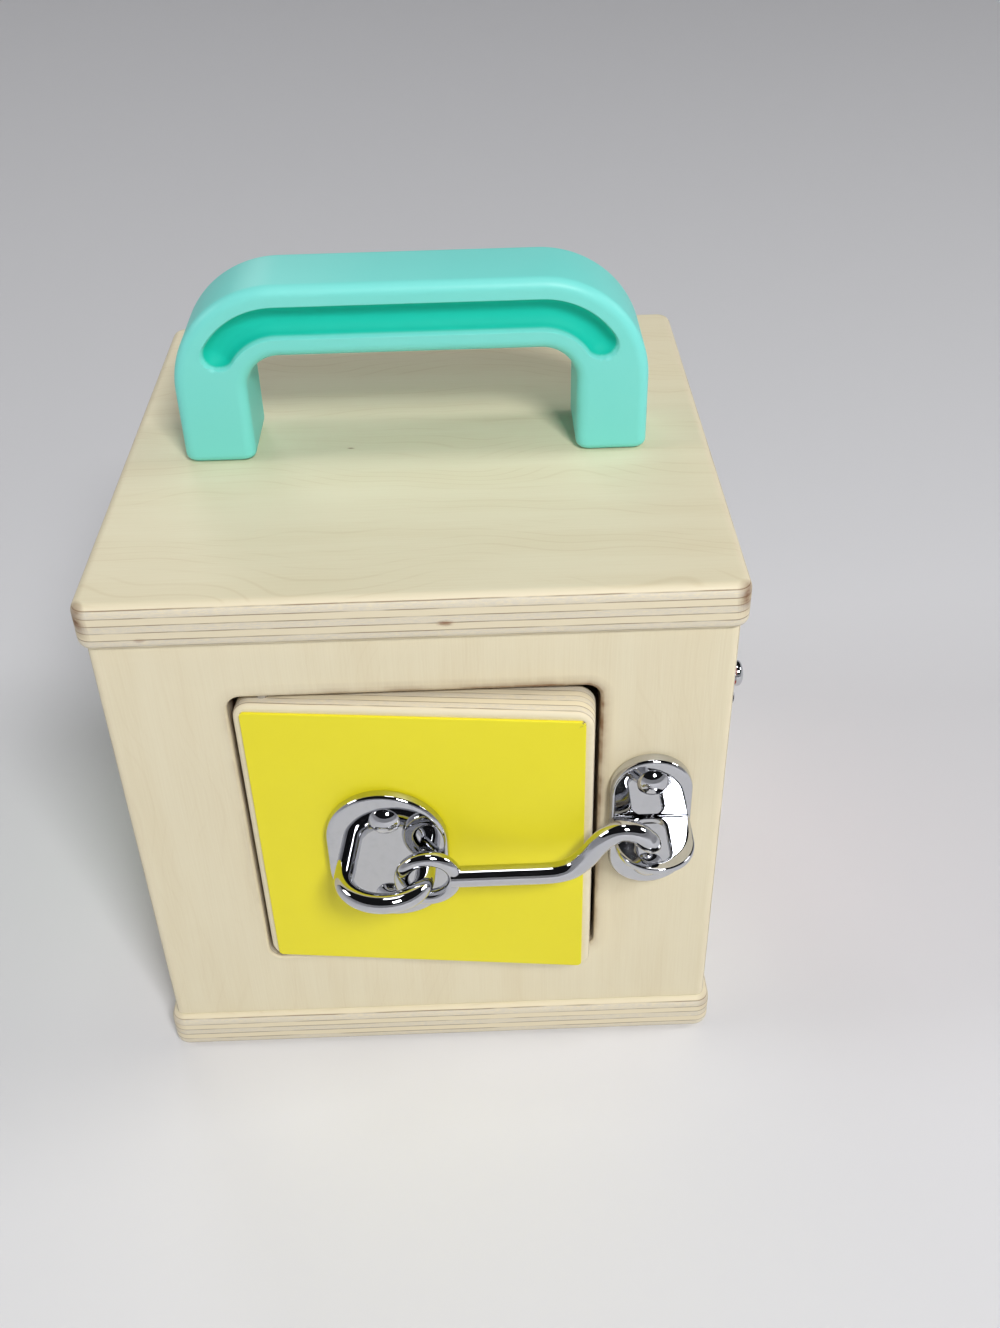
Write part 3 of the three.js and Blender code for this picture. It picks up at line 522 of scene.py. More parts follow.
def makeWall(side):
    # rows run from the doorway's inner edge over its front edge and the scorched strip beside it, out to the
    # wall's rim, over the upright corners, and back in behind; the rim is a plain rectangle
    w = walls
    width, rounding, thickness = w["widths"][side], w["rounds"][side], w["thickness"]
    centreZ = w["low"] + w["height"] / 2
    shift = np.array([w["doorwayAt"][0], w["doorwayAt"][1] - centreZ])
    margin, unburnt = meshing["flatMargin"], 2 * w["scorchReach"]

    def hole(grow):
        # the doorway grown on all sides
        return outline(*w["doorway"], w["doorwayCorner"], -grow) + shift

    def rim(inset):
        # the wall drawn in at its two upright edges
        return outline(width, w["height"], meshing["leastCorner"]) * np.array([1 - 2 * inset / width, 1])

    # each row is a line, its depth and its distance from the doorway
    rows = [(hole(grow), depth, 0.0) for grow, depth in rounded(w["edge"], 6)[::-1]]
    rows += [(hole(grow), 0.0, grow) for grow in w["strip"]]
    rows += [(rim(rounding + margin), 0.0, unburnt)]
    rows += [(rim(inset), depth, unburnt) for inset, depth in rounded(rounding, 6)]
    rows += [(rim(0.0), thickness, unburnt), (rim(margin), thickness, unburnt)]
    backGrow, backDepth = w["backEdge"]
    rows += [(hole(backGrow), thickness, backGrow), (hole(0.0), thickness - backDepth, 0.0), rows[0]]
    grid = np.stack([np.column_stack([line, np.full(len(line), depth)]) for line, depth, _ in rows])
    beside = np.array([distance for _, _, distance in rows])[:, None]

    def fade(value, start, length, least):
        # a straight rise to 1 over length, never under least
        return np.clip((value - start) / length, least, 1.0)

    scorch = np.clip(1 - beside / w["scorchReach"], 0, 1) ** w["scorchFall"] * w["scorch"]
    scorch = scorch * fade(grid[..., 0] - shift[0], *w["fadeAcross"]) * fade(grid[..., 1], *w["fadeDown"])
    cut = (beside == 0) & (grid[..., 2] > w["edge"])
    surface = {
        "points": onSide(facingOut(grid, 0, w["face"], centreZ), side),
        "place": np.stack([grid[..., 1], grid[..., 0] + sideTurns[side] * w["grainShift"], grid[..., 2]], -1),
        "burn": np.where(cut, w["cutScorch"], scorch),
    }
    makePiece(f"{side}_wall", [surface], wood["wall"], "box")


# doors: a board, its facing, the two pivot pins and the strip that stops it
doors = {
    "at": (-1.25, 78.25), "size": (84.0, 86.5), "corner": 4.5, "edge": 1.5, "front": -74.7,
    "thickness": 11.25, "grainShift": 1.7, "facing": (80.0, 82.5), "facingCorner": 1.2, "facingFront": -75.5,
    "facingThickness": 0.8, "facingEdge": 0.15, "pin": 1.5, "pinChamfer": 0.4,
    "pins": {"bottom": (29.0, 41.0), "top": (115.5, 127.5)}, "stop": (16.0, 56.0), "stopThickness": 4.0,
    "stopCorner": 1.0, "stopEdge": 0.7, "stopX": 44.75, "stopFront": -63.25,
}


def makeDoor(side):
    # the chip on the front facing is full near one corner and gone a corner's radius away
    d = doors
    body = f"{side}_door"
    x, z = d["at"]
    board = slab(lambda i: outline(*d["size"], d["corner"], i), d["thickness"], d["edge"], 7)
    surface = {"points": onSide(facingOut(board, x, d["front"], z), side, True)}
    surface["place"] = board + (sideTurns[side] * d["grainShift"], 0, 0)
    makePiece(f"{side}_door_board", [surface], wood["door"], body)

    width, height = d["facing"]
    sheet = slab(
        lambda i: outline(width, height, d["facingCorner"], i), d["facingThickness"], d["facingEdge"], 4)
    corner = np.hypot(width / 2 - sheet[..., 0], height / 2 - sheet[..., 1])
    surface = {"points": onSide(facingOut(sheet, x, d["facingFront"], z), side, True)}
    surface["burn"] = np.clip(2 - 2 * corner / d["facingCorner"], 0, 1) * (side == "front")
    makePiece(f"{side}_door_facing", [surface], facing[side], body)

    for end, (low, high) in d["pins"].items():
        pin = pinBetween(d["pin"], low, high, d["pinChamfer"], 32) + (hinge["x"], hinge["y"], 0)
        metalPiece(f"{side}_pin_{end}", [pin], side, "box")

    strip = slab(lambda i: outline(*d["stop"], d["stopCorner"], i), d["stopThickness"], d["stopEdge"], 5)
    surface = {"points": onSide(facingOut(strip, d["stopX"], d["stopFront"], z), side)}
    surface["place"] = strip[..., [1, 0, 2]] * (1, 1, 0)
    makePiece(f"{side}_door_stop", [surface], wood["wall"], "box")


for sideName in sideTurns:
    makeWall(sideName)
    makeDoor(sideName)
print("walls and doors done")

# handle: a rounded bar carried over an arch, with a half-round finger groove along its front
handle = {
    "half": 58.25, "bar": 17.75, "depth": 23.5, "corner": 26.5, "low": 150.0, "top": 195.5, "edge": 2.75,
    "footEdge": 2.25, "groove": 3.75, "grooveDepth": 3.75, "grooveEnd": 34.0, "lip": 0.11,
    "footSteps": 8, "legSteps": 14, "bendSteps": 56, "bridgeSteps": 40, "faceSteps": 91, "cornerSteps": 9,
}


def makeHandle():
    # the section's outward axis turns with the arch, and it shrinks under the feet along a quarter circle;
    # the front face sinks by a half ellipse of the distance from the groove's middle line, with round ends
    h = handle
    middle = h["corner"] - h["bar"] / 2
    centreX, centreZ = h["half"] - h["corner"], h["top"] - h["corner"]
    footInset, footRise = rounded(h["footEdge"], h["footSteps"]).T
    leg = np.linspace(h["low"] + h["footEdge"], centreZ, h["legSteps"])[1:-1]
    leg = np.concatenate([h["low"] + footRise, leg])
    turn = np.linspace(np.pi, quarter, h["bendSteps"])
    bridge = np.linspace(-centreX, centreX, h["bridgeSteps"])[1:-1]
    leftX = np.concatenate([np.full(len(leg), -centreX - middle), -centreX + middle * np.cos(turn)])
    leftZ = np.concatenate([leg, centreZ + middle * np.sin(turn)])
    leftAngle = np.concatenate([np.full(len(leg), np.pi), turn])
    x = np.concatenate([leftX, bridge, -leftX[::-1]])
    z = np.concatenate([leftZ, np.full(len(bridge), centreZ + middle), leftZ[::-1]])
    angle = np.concatenate([leftAngle, np.full(len(bridge), quarter), np.pi - leftAngle[::-1]])

    # the section is (outward, back): along the front face first, then round from its outer corner
    side, deep, edge = h["bar"] / 2, h["depth"] / 2, h["edge"]
    ring = outline(2 * side, 2 * deep, edge, 0.0, h["cornerSteps"])
    ring = np.roll(ring, -3 * (h["cornerSteps"] + 1), axis=0)
    face = np.linspace(side - edge, edge - side, h["faceSteps"])
    front = np.column_stack([face, np.full(len(face), -deep)])
    section = np.concatenate([front[1:-1][::-1], ring])

    pastEnd = np.maximum(0, np.abs(angle - quarter) - np.radians(90 - h["grooveEnd"])) * middle
    away = np.hypot(section[None, :, 0], pastEnd[:, None]) / h["groove"]
    sink = np.sqrt(np.clip(1 - away**2, 0, 1))
    soft = np.clip((1 + h["lip"] - away) / (2 * h["lip"]), 0, 1)
    lipRise = math.sqrt(1 - (1 - h["lip"]) ** 2)
    sink = np.where(away > 1 - h["lip"], lipRise * soft**2 * (3 - 2 * soft), sink)
    sink = sink * (np.abs(section[:, 1] + deep) < 1e-6)     # only on the front face
    inset = np.zeros(len(x))
    inset[:h["footSteps"]] = footInset
    inset[-h["footSteps"]:] = footInset[::-1]
    reach = section[:, 0] * (1 - inset / side)[:, None]
    y = (section[:, 1] + h["grooveDepth"] * sink) * (1 - inset / deep)[:, None]
    pointX = x[:, None] + np.cos(angle)[:, None] * reach
    pointZ = z[:, None] + np.sin(angle)[:, None] * reach
    points = np.stack([pointX, y, pointZ], -1)
    # burn carries the groove's depth, which the mint material turns into painted shade in the groove
    surface = {"points": closedEnds(points), "burn": np.pad(sink, ((1, 1), (0, 0)))}
    makePiece("handle", [surface], mint, "box")


makeHandle()

# screws: domed heads, plain on the front and with a cross recess elsewhere
screws = {
    "radius": 3.75, "dome": 2.0, "skirt": 0.3, "sunk": 0.2, "armLength": 1.6, "armWidth": 0.36,
    "armSoft": 0.12, "armFade": 0.5, "recess": 0.8, "shallower": 0.45, "around": 96,
    # even rows out to a share of the radius, then rows by the sine of a turn
    "evenTo": 0.62, "evenRows": 22, "rimFrom": 0.7, "rimRows": 14,
    # node, side, body, x, front of what it sits on, height and turn
    "places": [
        ("eye_screw_top", "front", "front_door", -9.0, -78.8, 90.0, 12),
        ("eye_screw_bottom", "front", "front_door", -9.0, -78.8, 65.0, 40),
        ("keeper_screw_top", "front", "box", 54.75, -76.75, 95.25, 20),
        ("keeper_screw_bottom", "front", "box", 54.75, -76.75, 67.75, 65),
        ("bolt_plate_screw_front", "right", "right_door", -12.0, -77.8, 71.5, 8),
        ("bolt_plate_screw_back", "right", "right_door", 22.0, -77.8, 83.5, 50),
        ("bolt_keeper_screw_top", "right", "box", 51.0, -75.25, 90.0, 30),
        ("bolt_keeper_screw_bottom", "right", "box", 51.0, -75.25, 65.0, 72),
        ("button_screw", "left", "left_door", 32.0, -82.1, 77.5, 25),
        ("hasp_leaf_screw_top", "back", "back_door", 10.7, -77.8, 84.5, 15),
        ("hasp_leaf_screw_bottom", "back", "back_door", 10.7, -77.8, 70.5, 58),
        ("staple_plate_screw_top", "back", "box", 49.5, -75.25, 91.5, 33),
        ("staple_plate_screw_bottom", "back", "box", 49.5, -75.25, 63.5, 80),
    ],
}


def screwHead(turned, recess):
    # a cap of a ball on a low skirt; a cross of two bars sinks into it by recess, deepest in the middle
    s = screws
    even = np.linspace(0, s["evenTo"], s["evenRows"])
    rim = np.sin(np.linspace(s["rimFrom"], quarter, s["rimRows"]))
    share = np.concatenate([even, rim])
    local = np.arange(s["around"]) * 2 * np.pi / s["around"]
    around = np.radians(turned) + local
    radius = s["radius"] * share[:, None]
    ball = (s["radius"] ** 2 + s["dome"] ** 2) / (2 * s["dome"])
    height = s["skirt"] + s["dome"] - ball + np.sqrt(ball**2 - radius**2)
    across = np.minimum(np.abs(radius * np.sin(local)), np.abs(radius * np.cos(local)))
    inArm = np.clip((s["armWidth"] + s["armSoft"] - across) / (2 * s["armSoft"]), 0, 1)
    inArm = inArm * np.clip((s["armLength"] - radius) / s["armFade"], 0, 1)
    height = height - recess * inArm * np.clip(1 - s["shallower"] * radius / s["armLength"], 0, 1)
    grid = np.stack([radius * np.cos(around), radius * np.sin(around), -height], -1)
    foot = grid[-1:] * (1, 1, 0) + (0, 0, s["sunk"])
    return np.concatenate([grid, foot, foot * (0, 0, 1)])


for node, sideName, body, x, seatY, z, turned in screws["places"]:
    head = screwHead(turned, 0.0 if sideName == "front" else screws["recess"])
    metalPiece(node, [facingOut(head, x, seatY, z)], sideName, body)
print("handle and screws done")

# the screws that hold the handle, from inside the top board
handleScrew = {
    "xs": {"left": -49.375, "right": 49.375}, "seat": 138.0, "radius": 4.0, "dome": 2.75, "rim": 0.6,
}


def makeHandleScrews():
    # a quarter ellipse below a low rim, turned once round
    h = handleScrew
    turn = np.linspace(0, quarter, 10)
    dome = h["dome"] - h["rim"]
    curve = np.column_stack([h["radius"] * np.sin(turn), h["seat"] - h["rim"] - dome * np.cos(turn)])
    head = lathe([*curve, (h["radius"], h["seat"]), (0, h["seat"])], 40)
    for name, x in h["xs"].items():
        metalPiece(f"handle_screw_{name}", [head + (x, 0, 0)], "front", "box")


makeHandleScrews()

# eye plate and staple on the front door
eye = {
    "at": (-9.0, 77.5), "size": (30.0, 40.5), "thickness": 3.3, "front": -78.8, "edge": 1.1,
    "rod": 2.5, "half": 9.75, "leg": 6.5, "nose": 8.25, "foot": -76.0,
}


def makeEye():
    # the staple goes out along a straight leg, round half an ellipse and back along the other leg
    e = eye
    x, z = e["at"]
    plate = slab(lambda i: outline(*e["size"], e["size"][0] / 2, i, 20), e["thickness"], e["edge"], 8)
    metalPiece("eye_plate", [facingOut(plate, x, e["front"], z)], "front", "front_door")
    turn = np.linspace(0, np.pi, 60)
    bend = e["front"] - e["leg"]
    leg = np.linspace(e["foot"], bend, 9)[:-1]
    legX = np.full(len(leg), e["half"])
    pathX = np.concatenate([-legX, -e["half"] * np.cos(turn), legX])
    pathY = np.concatenate([leg, bend - e["nose"] * np.sin(turn), leg[::-1]])
    path = np.column_stack([x + pathX, pathY, np.full(len(pathX), z)])
    staple = closedEnds(tube(path, directions(path), (0, 0, 1), e["rod"], e["rod"], 32))
    metalPiece("eye_staple", [staple], "front", "front_door")


makeEye()

# hook: a closed eye, a straight bar, a swan neck and a tip
hook = {
    "at": (0.137, -89.277, 78.5), "turn": 0.25, "eye": 6.4, "eyeRod": 1.85, "rod": 2.6, "deep": 2.6,
    "neck": 2.8, "neckLength": 3.4, "tip": 2.0, "tipLength": 3.0, "tipRound": 1.2, "tipFlat": 0.45,
    "least": 0.2,
    "line": [
        (5.4, 0), (9, 0), (15, 0), (22, 0), (28.5, 0), (32.25, 0.5), (35.25, 2), (38.25, 5.25), (40.5, 8.75),
        (43, 11.5), (46.25, 13.25), (49.75, 12.25), (52, 10), (53.2, 8.6), (53.5, 7.4), (53.5, 6.6),
    ],
}


def makeHook():
    # the eye is a ring; the bar is taller where it leaves the eye, by a bell curve of the distance, and
    # thins to a round tip along a quarter circle
    h = hook
    turn = np.linspace(0, 2 * np.pi, 73)
    level = np.zeros(len(turn))
    circle = h["eye"] * np.column_stack([np.cos(turn), level, np.sin(turn)])
    ahead = np.column_stack([-np.sin(turn), level, np.cos(turn)])
    ring = tube(circle, ahead, (0, 1, 0), h["eyeRod"], h["eyeRod"], 24)
    flat = smoothLine(h["line"], 150)
    path = np.column_stack([flat[:, 0], np.zeros(len(flat)), flat[:, 1]])
    gone = np.concatenate([[0], np.cumsum(np.linalg.norm(np.diff(path, axis=0), axis=1))])
    left = gone[-1] - gone
    radius = h["rod"] + h["neck"] * np.exp(-((gone / h["neckLength"]) ** 2))
    radius = np.minimum(radius, h["tip"] + (h["rod"] - h["tip"]) * np.clip(left / h["tipLength"], 0, 1))
    tipRound = np.sqrt(1 - np.clip(1 - left / h["tipRound"], 0, 1) ** 2)
    radius = np.maximum(radius * (h["tipFlat"] + (1 - h["tipFlat"]) * tipRound), h["least"])
    bar = closedEnds(tube(path, directions(path), (0, 1, 0), radius, np.minimum(radius, h["deep"]), 28))
    placed = [turnedAbout(grid, 0, 0, h["turn"]) + h["at"] for grid in (ring, bar)]
    metalPiece("hook", placed, "front", "hook")


makeHook()

# keeper on the front wall: a plate with a flat lug that has the hook's hole
keeper = {
    "at": (54.75, 81.5), "size": (20.0, 41.0), "thickness": 3.5, "front": -76.75, "edge": 1.0,
    "lugTop": 84.25, "lugThickness": 1.75, "lugWidth": 19.0, "lugReach": 18.25, "lugEdge": 0.5,
    "lugCorner": 0.05, "hole": (7.25, 14.5), "holeCorner": 3.0, "holeStart": 0.75, "holeShift": 0.5,
    "root": 0.06,
}


def makeKeeper():
    # the lug is a slab with a hole; its rounded end goes root deep into the plate, which leaves a fine line
    k = keeper
    x, z = k["at"]
    plate = slab(lambda i: outline(*k["size"], k["size"][0] / 2, i, 20), k["thickness"], k["edge"], 8)
    length = k["lugReach"] + k["root"]
    middle = k["front"] + k["root"] - length / 2
    shift = np.array([-k["holeShift"], k["front"] - k["holeStart"] - k["hole"][1] / 2 - middle])
    radii = (k["lugCorner"], k["lugCorner"], k["lugWidth"] / 2, k["lugWidth"] / 2)
    lug = framed(
        lambda g: outline(*k["hole"], k["holeCorner"], -g, 16) + shift,
        lambda i: outline(k["lugWidth"], length, radii, i, 16), k["lugThickness"], k["lugEdge"])
    lug = np.stack([x + lug[..., 0], middle + lug[..., 1], k["lugTop"] - lug[..., 2]], -1)
    metalPiece("keeper", [facingOut(plate, x, k["front"], z), lug], "front", "box")


makeKeeper()
print("hook and eye done")

# barrel bolt on the right door, and its keeper on the wall
bolt = {
    "z": 77.5, "plateX": 5.0, "plate": (62.0, 20.0), "plateFront": -77.8, "plateThickness": 2.3,
    "plateCorner": 3.0, "plateEdge": 0.7, "y": -81.05, "rod": 2.5, "ends": (-27.0, 37.0),
    "guides": (-20.25, 30.25), "guideLength": 6.5, "guideHalf": 3.75, "guideCorner": 3.2, "guideHole": 5.6,
    "guideSunk": 0.5, "knobX": -12.0, "knobRadius": 3.75, "knobReach": 6.75, "knobNeck": 1.5,
    "knobNeckEnd": 3.4, "knobRoot": 1.25, "knobDome": 1.6,
    # profile points: how far inside the radius of the rod or knob, and how far from its end
    "rodStart": ((0.5, 0.0), (0.15, 0.15), (0.0, 0.5)), "rodEnd": ((0.0, 1.2), (0.3, 0.5), (0.9, 0.0)),
    "knobSkirt": ((0.6, 3.2), (0.1, 2.7), (0.0, 2.2)),
    "keeperX": 51.0, "keeperPlate": (12.0, 36.0), "keeperCorner": 4.8, "keeperThickness": 2.0,
    "keeperEdge": 0.6, "keeperFront": -75.25, "housing": 10.0, "housingHalf": 4.5, "housingCorner": 2.4,
    "housingSunk": 0.4, "mouthHalf": 3.0, "mouthCorner": 0.8, "saddleEdge": 0.35, "saddleFoot": 0.2,
}


def saddle(x, length, hole, holeCorner, holeY, outer, outerCorner, outerY):
    # a strap over the bolt: a slab with a hole, its thickness laid along the bolt
    b = bolt
    radii = (b["saddleFoot"], outerCorner, outerCorner, b["saddleFoot"])
    grid = framed(
        lambda g: outline(*hole, holeCorner, -g, 12) + (holeY - outerY, 0),
        lambda i: outline(*outer, radii, i, 12), length, b["saddleEdge"])
    y = b["y"] + outerY + grid[..., 0]
    return np.stack([x - length / 2 + grid[..., 2], y, b["z"] + grid[..., 1]], -1)


def makeBolt():
    # rod and knob are profiles turned once round, the knob's dome a quarter ellipse
    b = bolt
    z = b["z"]
    plate = slab(lambda i: outline(*b["plate"], b["plateCorner"], i), b["plateThickness"], b["plateEdge"])
    grids = [facingOut(plate, b["plateX"], b["plateFront"], z)]
    tall = b["guideHalf"] + b["plateFront"] - b["y"] + b["guideSunk"]
    guideHole = (b["guideHole"], b["guideHole"])
    for x in b["guides"]:
        grids.append(saddle(
            x, b["guideLength"], guideHole, b["guideHole"] / 2, 0.0,
            (tall, 2 * b["guideHalf"]), b["guideCorner"], tall / 2 - b["guideHalf"]))
    metalPiece("bolt_plate", grids, "right", "right_door")

    r, (low, high) = b["rod"], b["ends"]
    start = [(r - inside, low + along) for inside, along in b["rodStart"]]
    end = [(r - inside, high - along) for inside, along in b["rodEnd"]]
    turned = lathe([(0, low), *start, *end, (0, high)], 40)
    rod = np.stack([turned[..., 2], b["y"] + turned[..., 0], z + turned[..., 1]], -1)
    metalPiece("bolt_rod", [rod], "right", "bolt")
    k, reach, dome = b["knobRadius"], b["knobReach"], b["knobDome"]
    turn = np.linspace(quarter, 0, 10)
    curve = np.column_stack([k * np.sin(turn), reach - dome + dome * np.cos(turn)])
    skirt = [(k - inside, reach - along) for inside, along in b["knobSkirt"]]
    neck = [(0, 0), (b["knobNeck"], 0), (b["knobNeck"], reach - b["knobNeckEnd"])]
    knob = lathe([*neck, *skirt, *curve], 40) * (1, 1, -1)
    knob = facingOut(knob, b["knobX"], b["y"] - b["knobRoot"], z)
    metalPiece("bolt_knob", [knob], "right", "bolt")

    foot = slab(
        lambda i: outline(*b["keeperPlate"], b["keeperCorner"], i), b["keeperThickness"], b["keeperEdge"])
    deep = b["keeperFront"] - b["y"]
    outer = (b["housingHalf"] + deep + b["housingSunk"], 2 * b["housingHalf"])
    mouth = (b["mouthHalf"] + deep, 2 * b["mouthHalf"])
    housing = saddle(
        b["keeperX"], b["housing"], mouth, b["mouthCorner"], mouth[0] / 2 - b["mouthHalf"],
        outer, b["housingCorner"], outer[0] / 2 - b["housingHalf"])
    metalPiece("bolt_keeper", [facingOut(foot, b["keeperX"], b["keeperFront"], z), housing], "right", "box")


makeBolt()

# turn button on the left door
button = {
    "x": 32.0, "z": 77.5, "size": (14.0, 46.0), "front": -82.1, "thickness": 4.0, "edge": 1.3, "gap": 0.3,
    "spacer": 6.0, "spacerChamfer": 0.4, "spacerBack": -75.5,
}


def makeButton():
    # the button is a slab with round ends, and the spacer behind it a chamfered disc
    b = button
    bar = slab(lambda i: outline(*b["size"], b["size"][0] / 2, i, 18), b["thickness"], b["edge"], 8)
    metalPiece("turn_button", [facingOut(bar, b["x"], b["front"], b["z"])], "left", "turn_button")
    back = b["front"] + b["thickness"]
    r, gap, chamfer, deep = b["spacer"], b["gap"], b["spacerChamfer"], b["spacerBack"] - back
    disc = lathe([(0, gap), (r - chamfer, gap), (r, gap + chamfer), (r, deep), (0, deep)], 44)
    metalPiece("button_spacer", [facingOut(disc, b["x"], back, b["z"])], "left", "left_door")


makeButton()

# hasp on the back door, and the turn staple on the wall
hasp = {
    "x": 26.0, "y": -80.3, "z": 77.5, "leaf": (20.0, 26.0), "leafX": 12.7, "leafFront": -77.8,
    "leafThickness": 2.3, "leafCorner": 2.0, "leafEdge": 0.6, "knuckle": 3.0, "knuckleChamfer": 0.4,
    "gap": 0.3, "height": 26.0, "web": 2.0, "webCorner": 0.3, "webEdge": 0.25, "webPast": 3.0,
    "pin": 1.5, "pinPast": 0.02, "strapX": (30.0, 63.0), "strapHeight": 22.0, "strapThickness": 2.0,
    "strapCorner": 5.0, "strapEdge": 0.55, "slot": (10.0, 17.0), "slotCorner": 2.0, "slotX": 49.5,
    "open": -32.0, "plate": (12.0, 36.0), "plateFront": -75.25, "plateThickness": 2.0, "plateEdge": 0.6,
    "neck": 2.0, "neckBack": -73.55, "neckIn": 1.0, "head": (4.5, 13.0), "headBack": -82.3, "headReach": 9.0,
    "headEdge": 1.2,
}


def knuckleBar(low, high):
    # a chamfered round bar on the hasp's hinge line
    h = hasp
    return pinBetween(h["knuckle"], low, high, h["knuckleChamfer"], 36) + (h["x"], h["y"], h["z"])


def webBar(fromX, toX, front, thickness, low, high):
    # a flat bar between a leaf or strap and its knuckle
    h = hasp
    grid = slab(lambda i: outline(toX - fromX, high - low, h["webCorner"], i), thickness, h["webEdge"], 3)
    return facingOut(grid, (fromX + toX) / 2, front, h["z"] + (low + high) / 2)


def makeHasp():
    # the leaf has the two outer knuckles, and the strap, a slab with a slot, has the middle one
    h = hasp
    z, sixth, half = h["z"], h["height"] / 6, h["height"] / 2
    leaf = slab(lambda i: outline(*h["leaf"], h["leafCorner"], i), h["leafThickness"], h["leafEdge"])
    grids = [facingOut(leaf, h["leafX"], h["leafFront"], z)]
    for low, high in ((-half, -sixth - h["gap"]), (sixth + h["gap"], half)):
        grids += [knuckleBar(low, high), webBar(h["leafX"], h["x"], h["leafFront"], h["web"], low, high)]
    metalPiece("hasp_leaf", grids, "back", "back_door")
    r, end = h["pin"], half + h["pinPast"]
    pin = lathe([(0, -end), (r, -end), (r, end), (0, end)], 28) + (h["x"], h["y"], z)
    metalPiece("hasp_pin", [pin], "back", "back_door")

    low, high = h["strapX"]
    middle = (low + high) / 2
    strap = framed(
        lambda g: outline(*h["slot"], h["slotCorner"], -g, 10) + (h["slotX"] - middle, 0),
        lambda i: outline(high - low, h["strapHeight"], h["strapCorner"], i, 10),
        h["strapThickness"], h["strapEdge"])
    front = h["y"] - h["strapThickness"] / 2
    web = webBar(h["x"], low + h["webPast"], front, h["strapThickness"], -sixth, sixth)
    shut = [facingOut(strap, middle, front, z), knuckleBar(-sixth, sixth), web]
    opened = [turnedAbout(grid, h["x"], h["y"], h["open"]) for grid in shut]
    metalPiece("hasp_strap", opened, "back", "hasp_strap")

    plate = slab(
        lambda i: outline(*h["plate"], h["plate"][0] / 2, i, 14), h["plateThickness"], h["plateEdge"])
    metalPiece("staple_plate", [facingOut(plate, h["slotX"], h["plateFront"], z)], "back", "box")
    head = slab(lambda i: outline(*h["head"], h["head"][0] / 2, i, 12), h["headReach"], h["headEdge"], 7)
    r, long = h["neck"], h["neckBack"] - h["headBack"] + h["neckIn"]
    neck = lathe([(0, 0), (r, 0), (r, long), (0, long)], 32)
    grids = [facingOut(head, h["slotX"], h["headBack"] - h["headReach"], z)]
    grids.append(facingOut(neck, h["slotX"], h["headBack"] - h["neckIn"], z))
    metalPiece("turn_staple", grids, "back", "turn_staple")


makeHasp()
print("bolt, button and hasp done")

# stage: a pale floor that rises to a low round wall, soft lamps overhead, and the camera
stage = {
    "floor": tint(226, 226, 229), "floorRoughness": 0.7, "floorSpecular": 0.2, "inner": 0.3, "flat": 1.6,
    "wallRadius": 2.4, "wallHeight": 0.95, "sky": (0.012, 0.012, 0.013, 1.0),
    # lamp, place, target, size and power
    "lamps": [
        ("keyLamp", (0.35, -0.94, 1.06), (0.0, 0.0, 0.08), 0.3, 13.2),
        ("topLamp", (0.1, 0.0, 2.4), (0.0, 0.0, 0.1), 0.6, 5.0),
        ("leftLamp", (-2.7, -0.2, 1.65), (0.0, 0.0, 0.08), 0.8, 19.5),
        ("rightLamp", (2.7, 0.1, 1.65), (0.0, 0.0, 0.08), 0.8, 22.5),
        ("backLamp", (-0.9, 2.7, 1.65), (0.0, 0.0, 0.08), 0.8, 9.0),
    ],
    "eye": (0.01527284, -0.32211742, 0.31830566), "yaw": 0.01446991, "pitch": 0.6479405, "roll": 0.02556941,
    "focal": 1376.8246, "frame": (1000, 1328), "sensor": 36.0, "clip": (0.01, 20.0),
}


def frameOf(place, across, up, ahead):
    # the frame of a lamp or camera, which looks along its own -Z
    columns = np.column_stack([across, up, -ahead, place])
    return Matrix(np.vstack([columns, [0, 0, 0, 1]]).tolist())


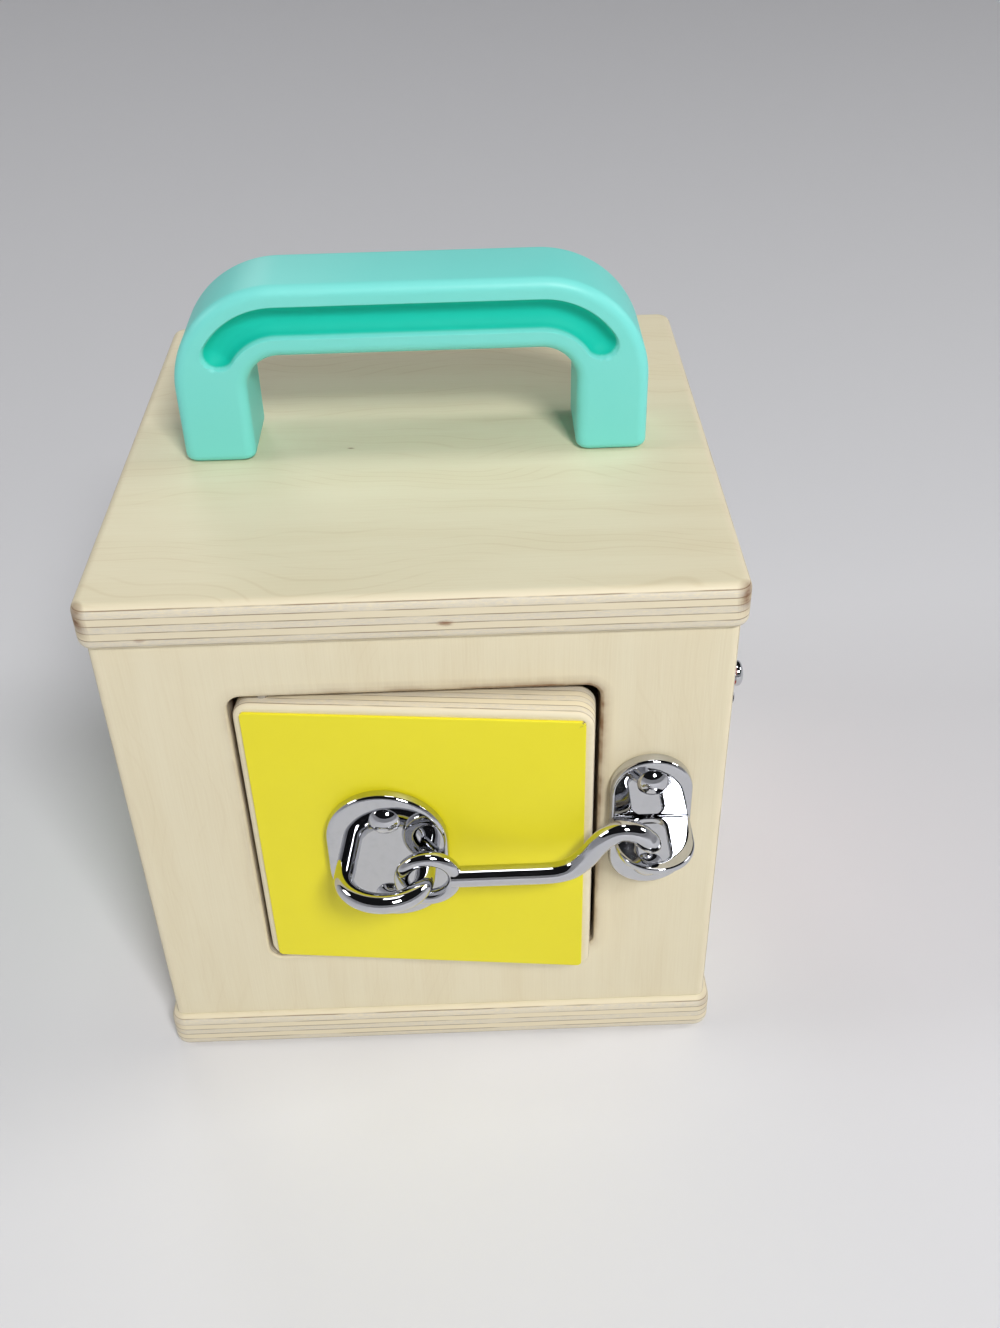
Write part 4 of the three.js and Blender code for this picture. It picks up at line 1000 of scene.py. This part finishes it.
def makeFloor():
    # the floor is flat to a radius, then climbs along a quarter ellipse to the wall
    s = stage
    turn = np.linspace(0, quarter, 24)[1:]
    rise = s["wallRadius"] - s["flat"]
    climb = np.column_stack([s["flat"] + rise * np.sin(turn), s["wallHeight"] * (1 - np.cos(turn))])
    grid = lathe([(0, 0), (s["inner"], 0), (s["flat"], 0), *climb], 96)
    mesh = bpy.data.meshes.new("floor")
    mesh.from_pydata(grid.reshape(-1, 3).tolist(), [], gridFaces(*grid.shape[:2]).tolist())
    mesh.polygons.foreach_set("use_smooth", np.ones(len(mesh.polygons), bool))
    material, _, shader = newMaterial("pale floor")
    feed(shader, Base_Color=s["floor"], Roughness=s["floorRoughness"], Specular_IOR_Level=s["floorSpecular"])
    mesh.materials.append(material)
    floor = addObject("floor", mesh)


def makeLamps():
    # each lamp looks at its target with its X level
    for name, place, target, size, power in stage["lamps"]:
        lamp = bpy.data.lights.new(name, "AREA")
        lamp.shape = "SQUARE"
        lamp.size = size
        lamp.energy = power
        ahead = np.subtract(target, place)
        ahead /= np.linalg.norm(ahead)
        across = np.cross(ahead, (0, 0, 1.0))
        across /= np.linalg.norm(across)
        holder = addObject(name, lamp)
        holder.matrix_world = frameOf(place, across, np.cross(across, ahead), ahead)
    world = bpy.data.worlds.new("studio")
    world.use_nodes = True
    world.node_tree.nodes["Background"].inputs["Color"].default_value = stage["sky"]
    bpy.context.scene.world = world


def makeCamera():
    # yaw turns from +Y to +X, pitch looks down, and roll turns the frame about the line of sight
    s = stage
    cy, sy = math.cos(s["yaw"]), math.sin(s["yaw"])
    cp, sp = math.cos(s["pitch"]), math.sin(s["pitch"])
    cr, sr = math.cos(s["roll"]), math.sin(s["roll"])
    ahead = np.array([sy * cp, cy * cp, -sp])
    level = np.array([cy, -sy, 0.0])
    down = np.cross(ahead, level)
    across, below = cr * level + sr * down, cr * down - sr * level
    data = bpy.data.cameras.new("camera")
    data.sensor_width = s["sensor"]
    data.sensor_fit = "AUTO"
    data.lens = s["focal"] * s["sensor"] / max(s["frame"])
    data.clip_start, data.clip_end = s["clip"]
    camera = addObject("camera", data)
    camera.matrix_world = frameOf(s["eye"], across, -below, ahead)
    bpy.context.scene.camera = camera


makeFloor()
makeLamps()
makeCamera()
bpy.context.scene.view_settings.view_transform = "Standard"
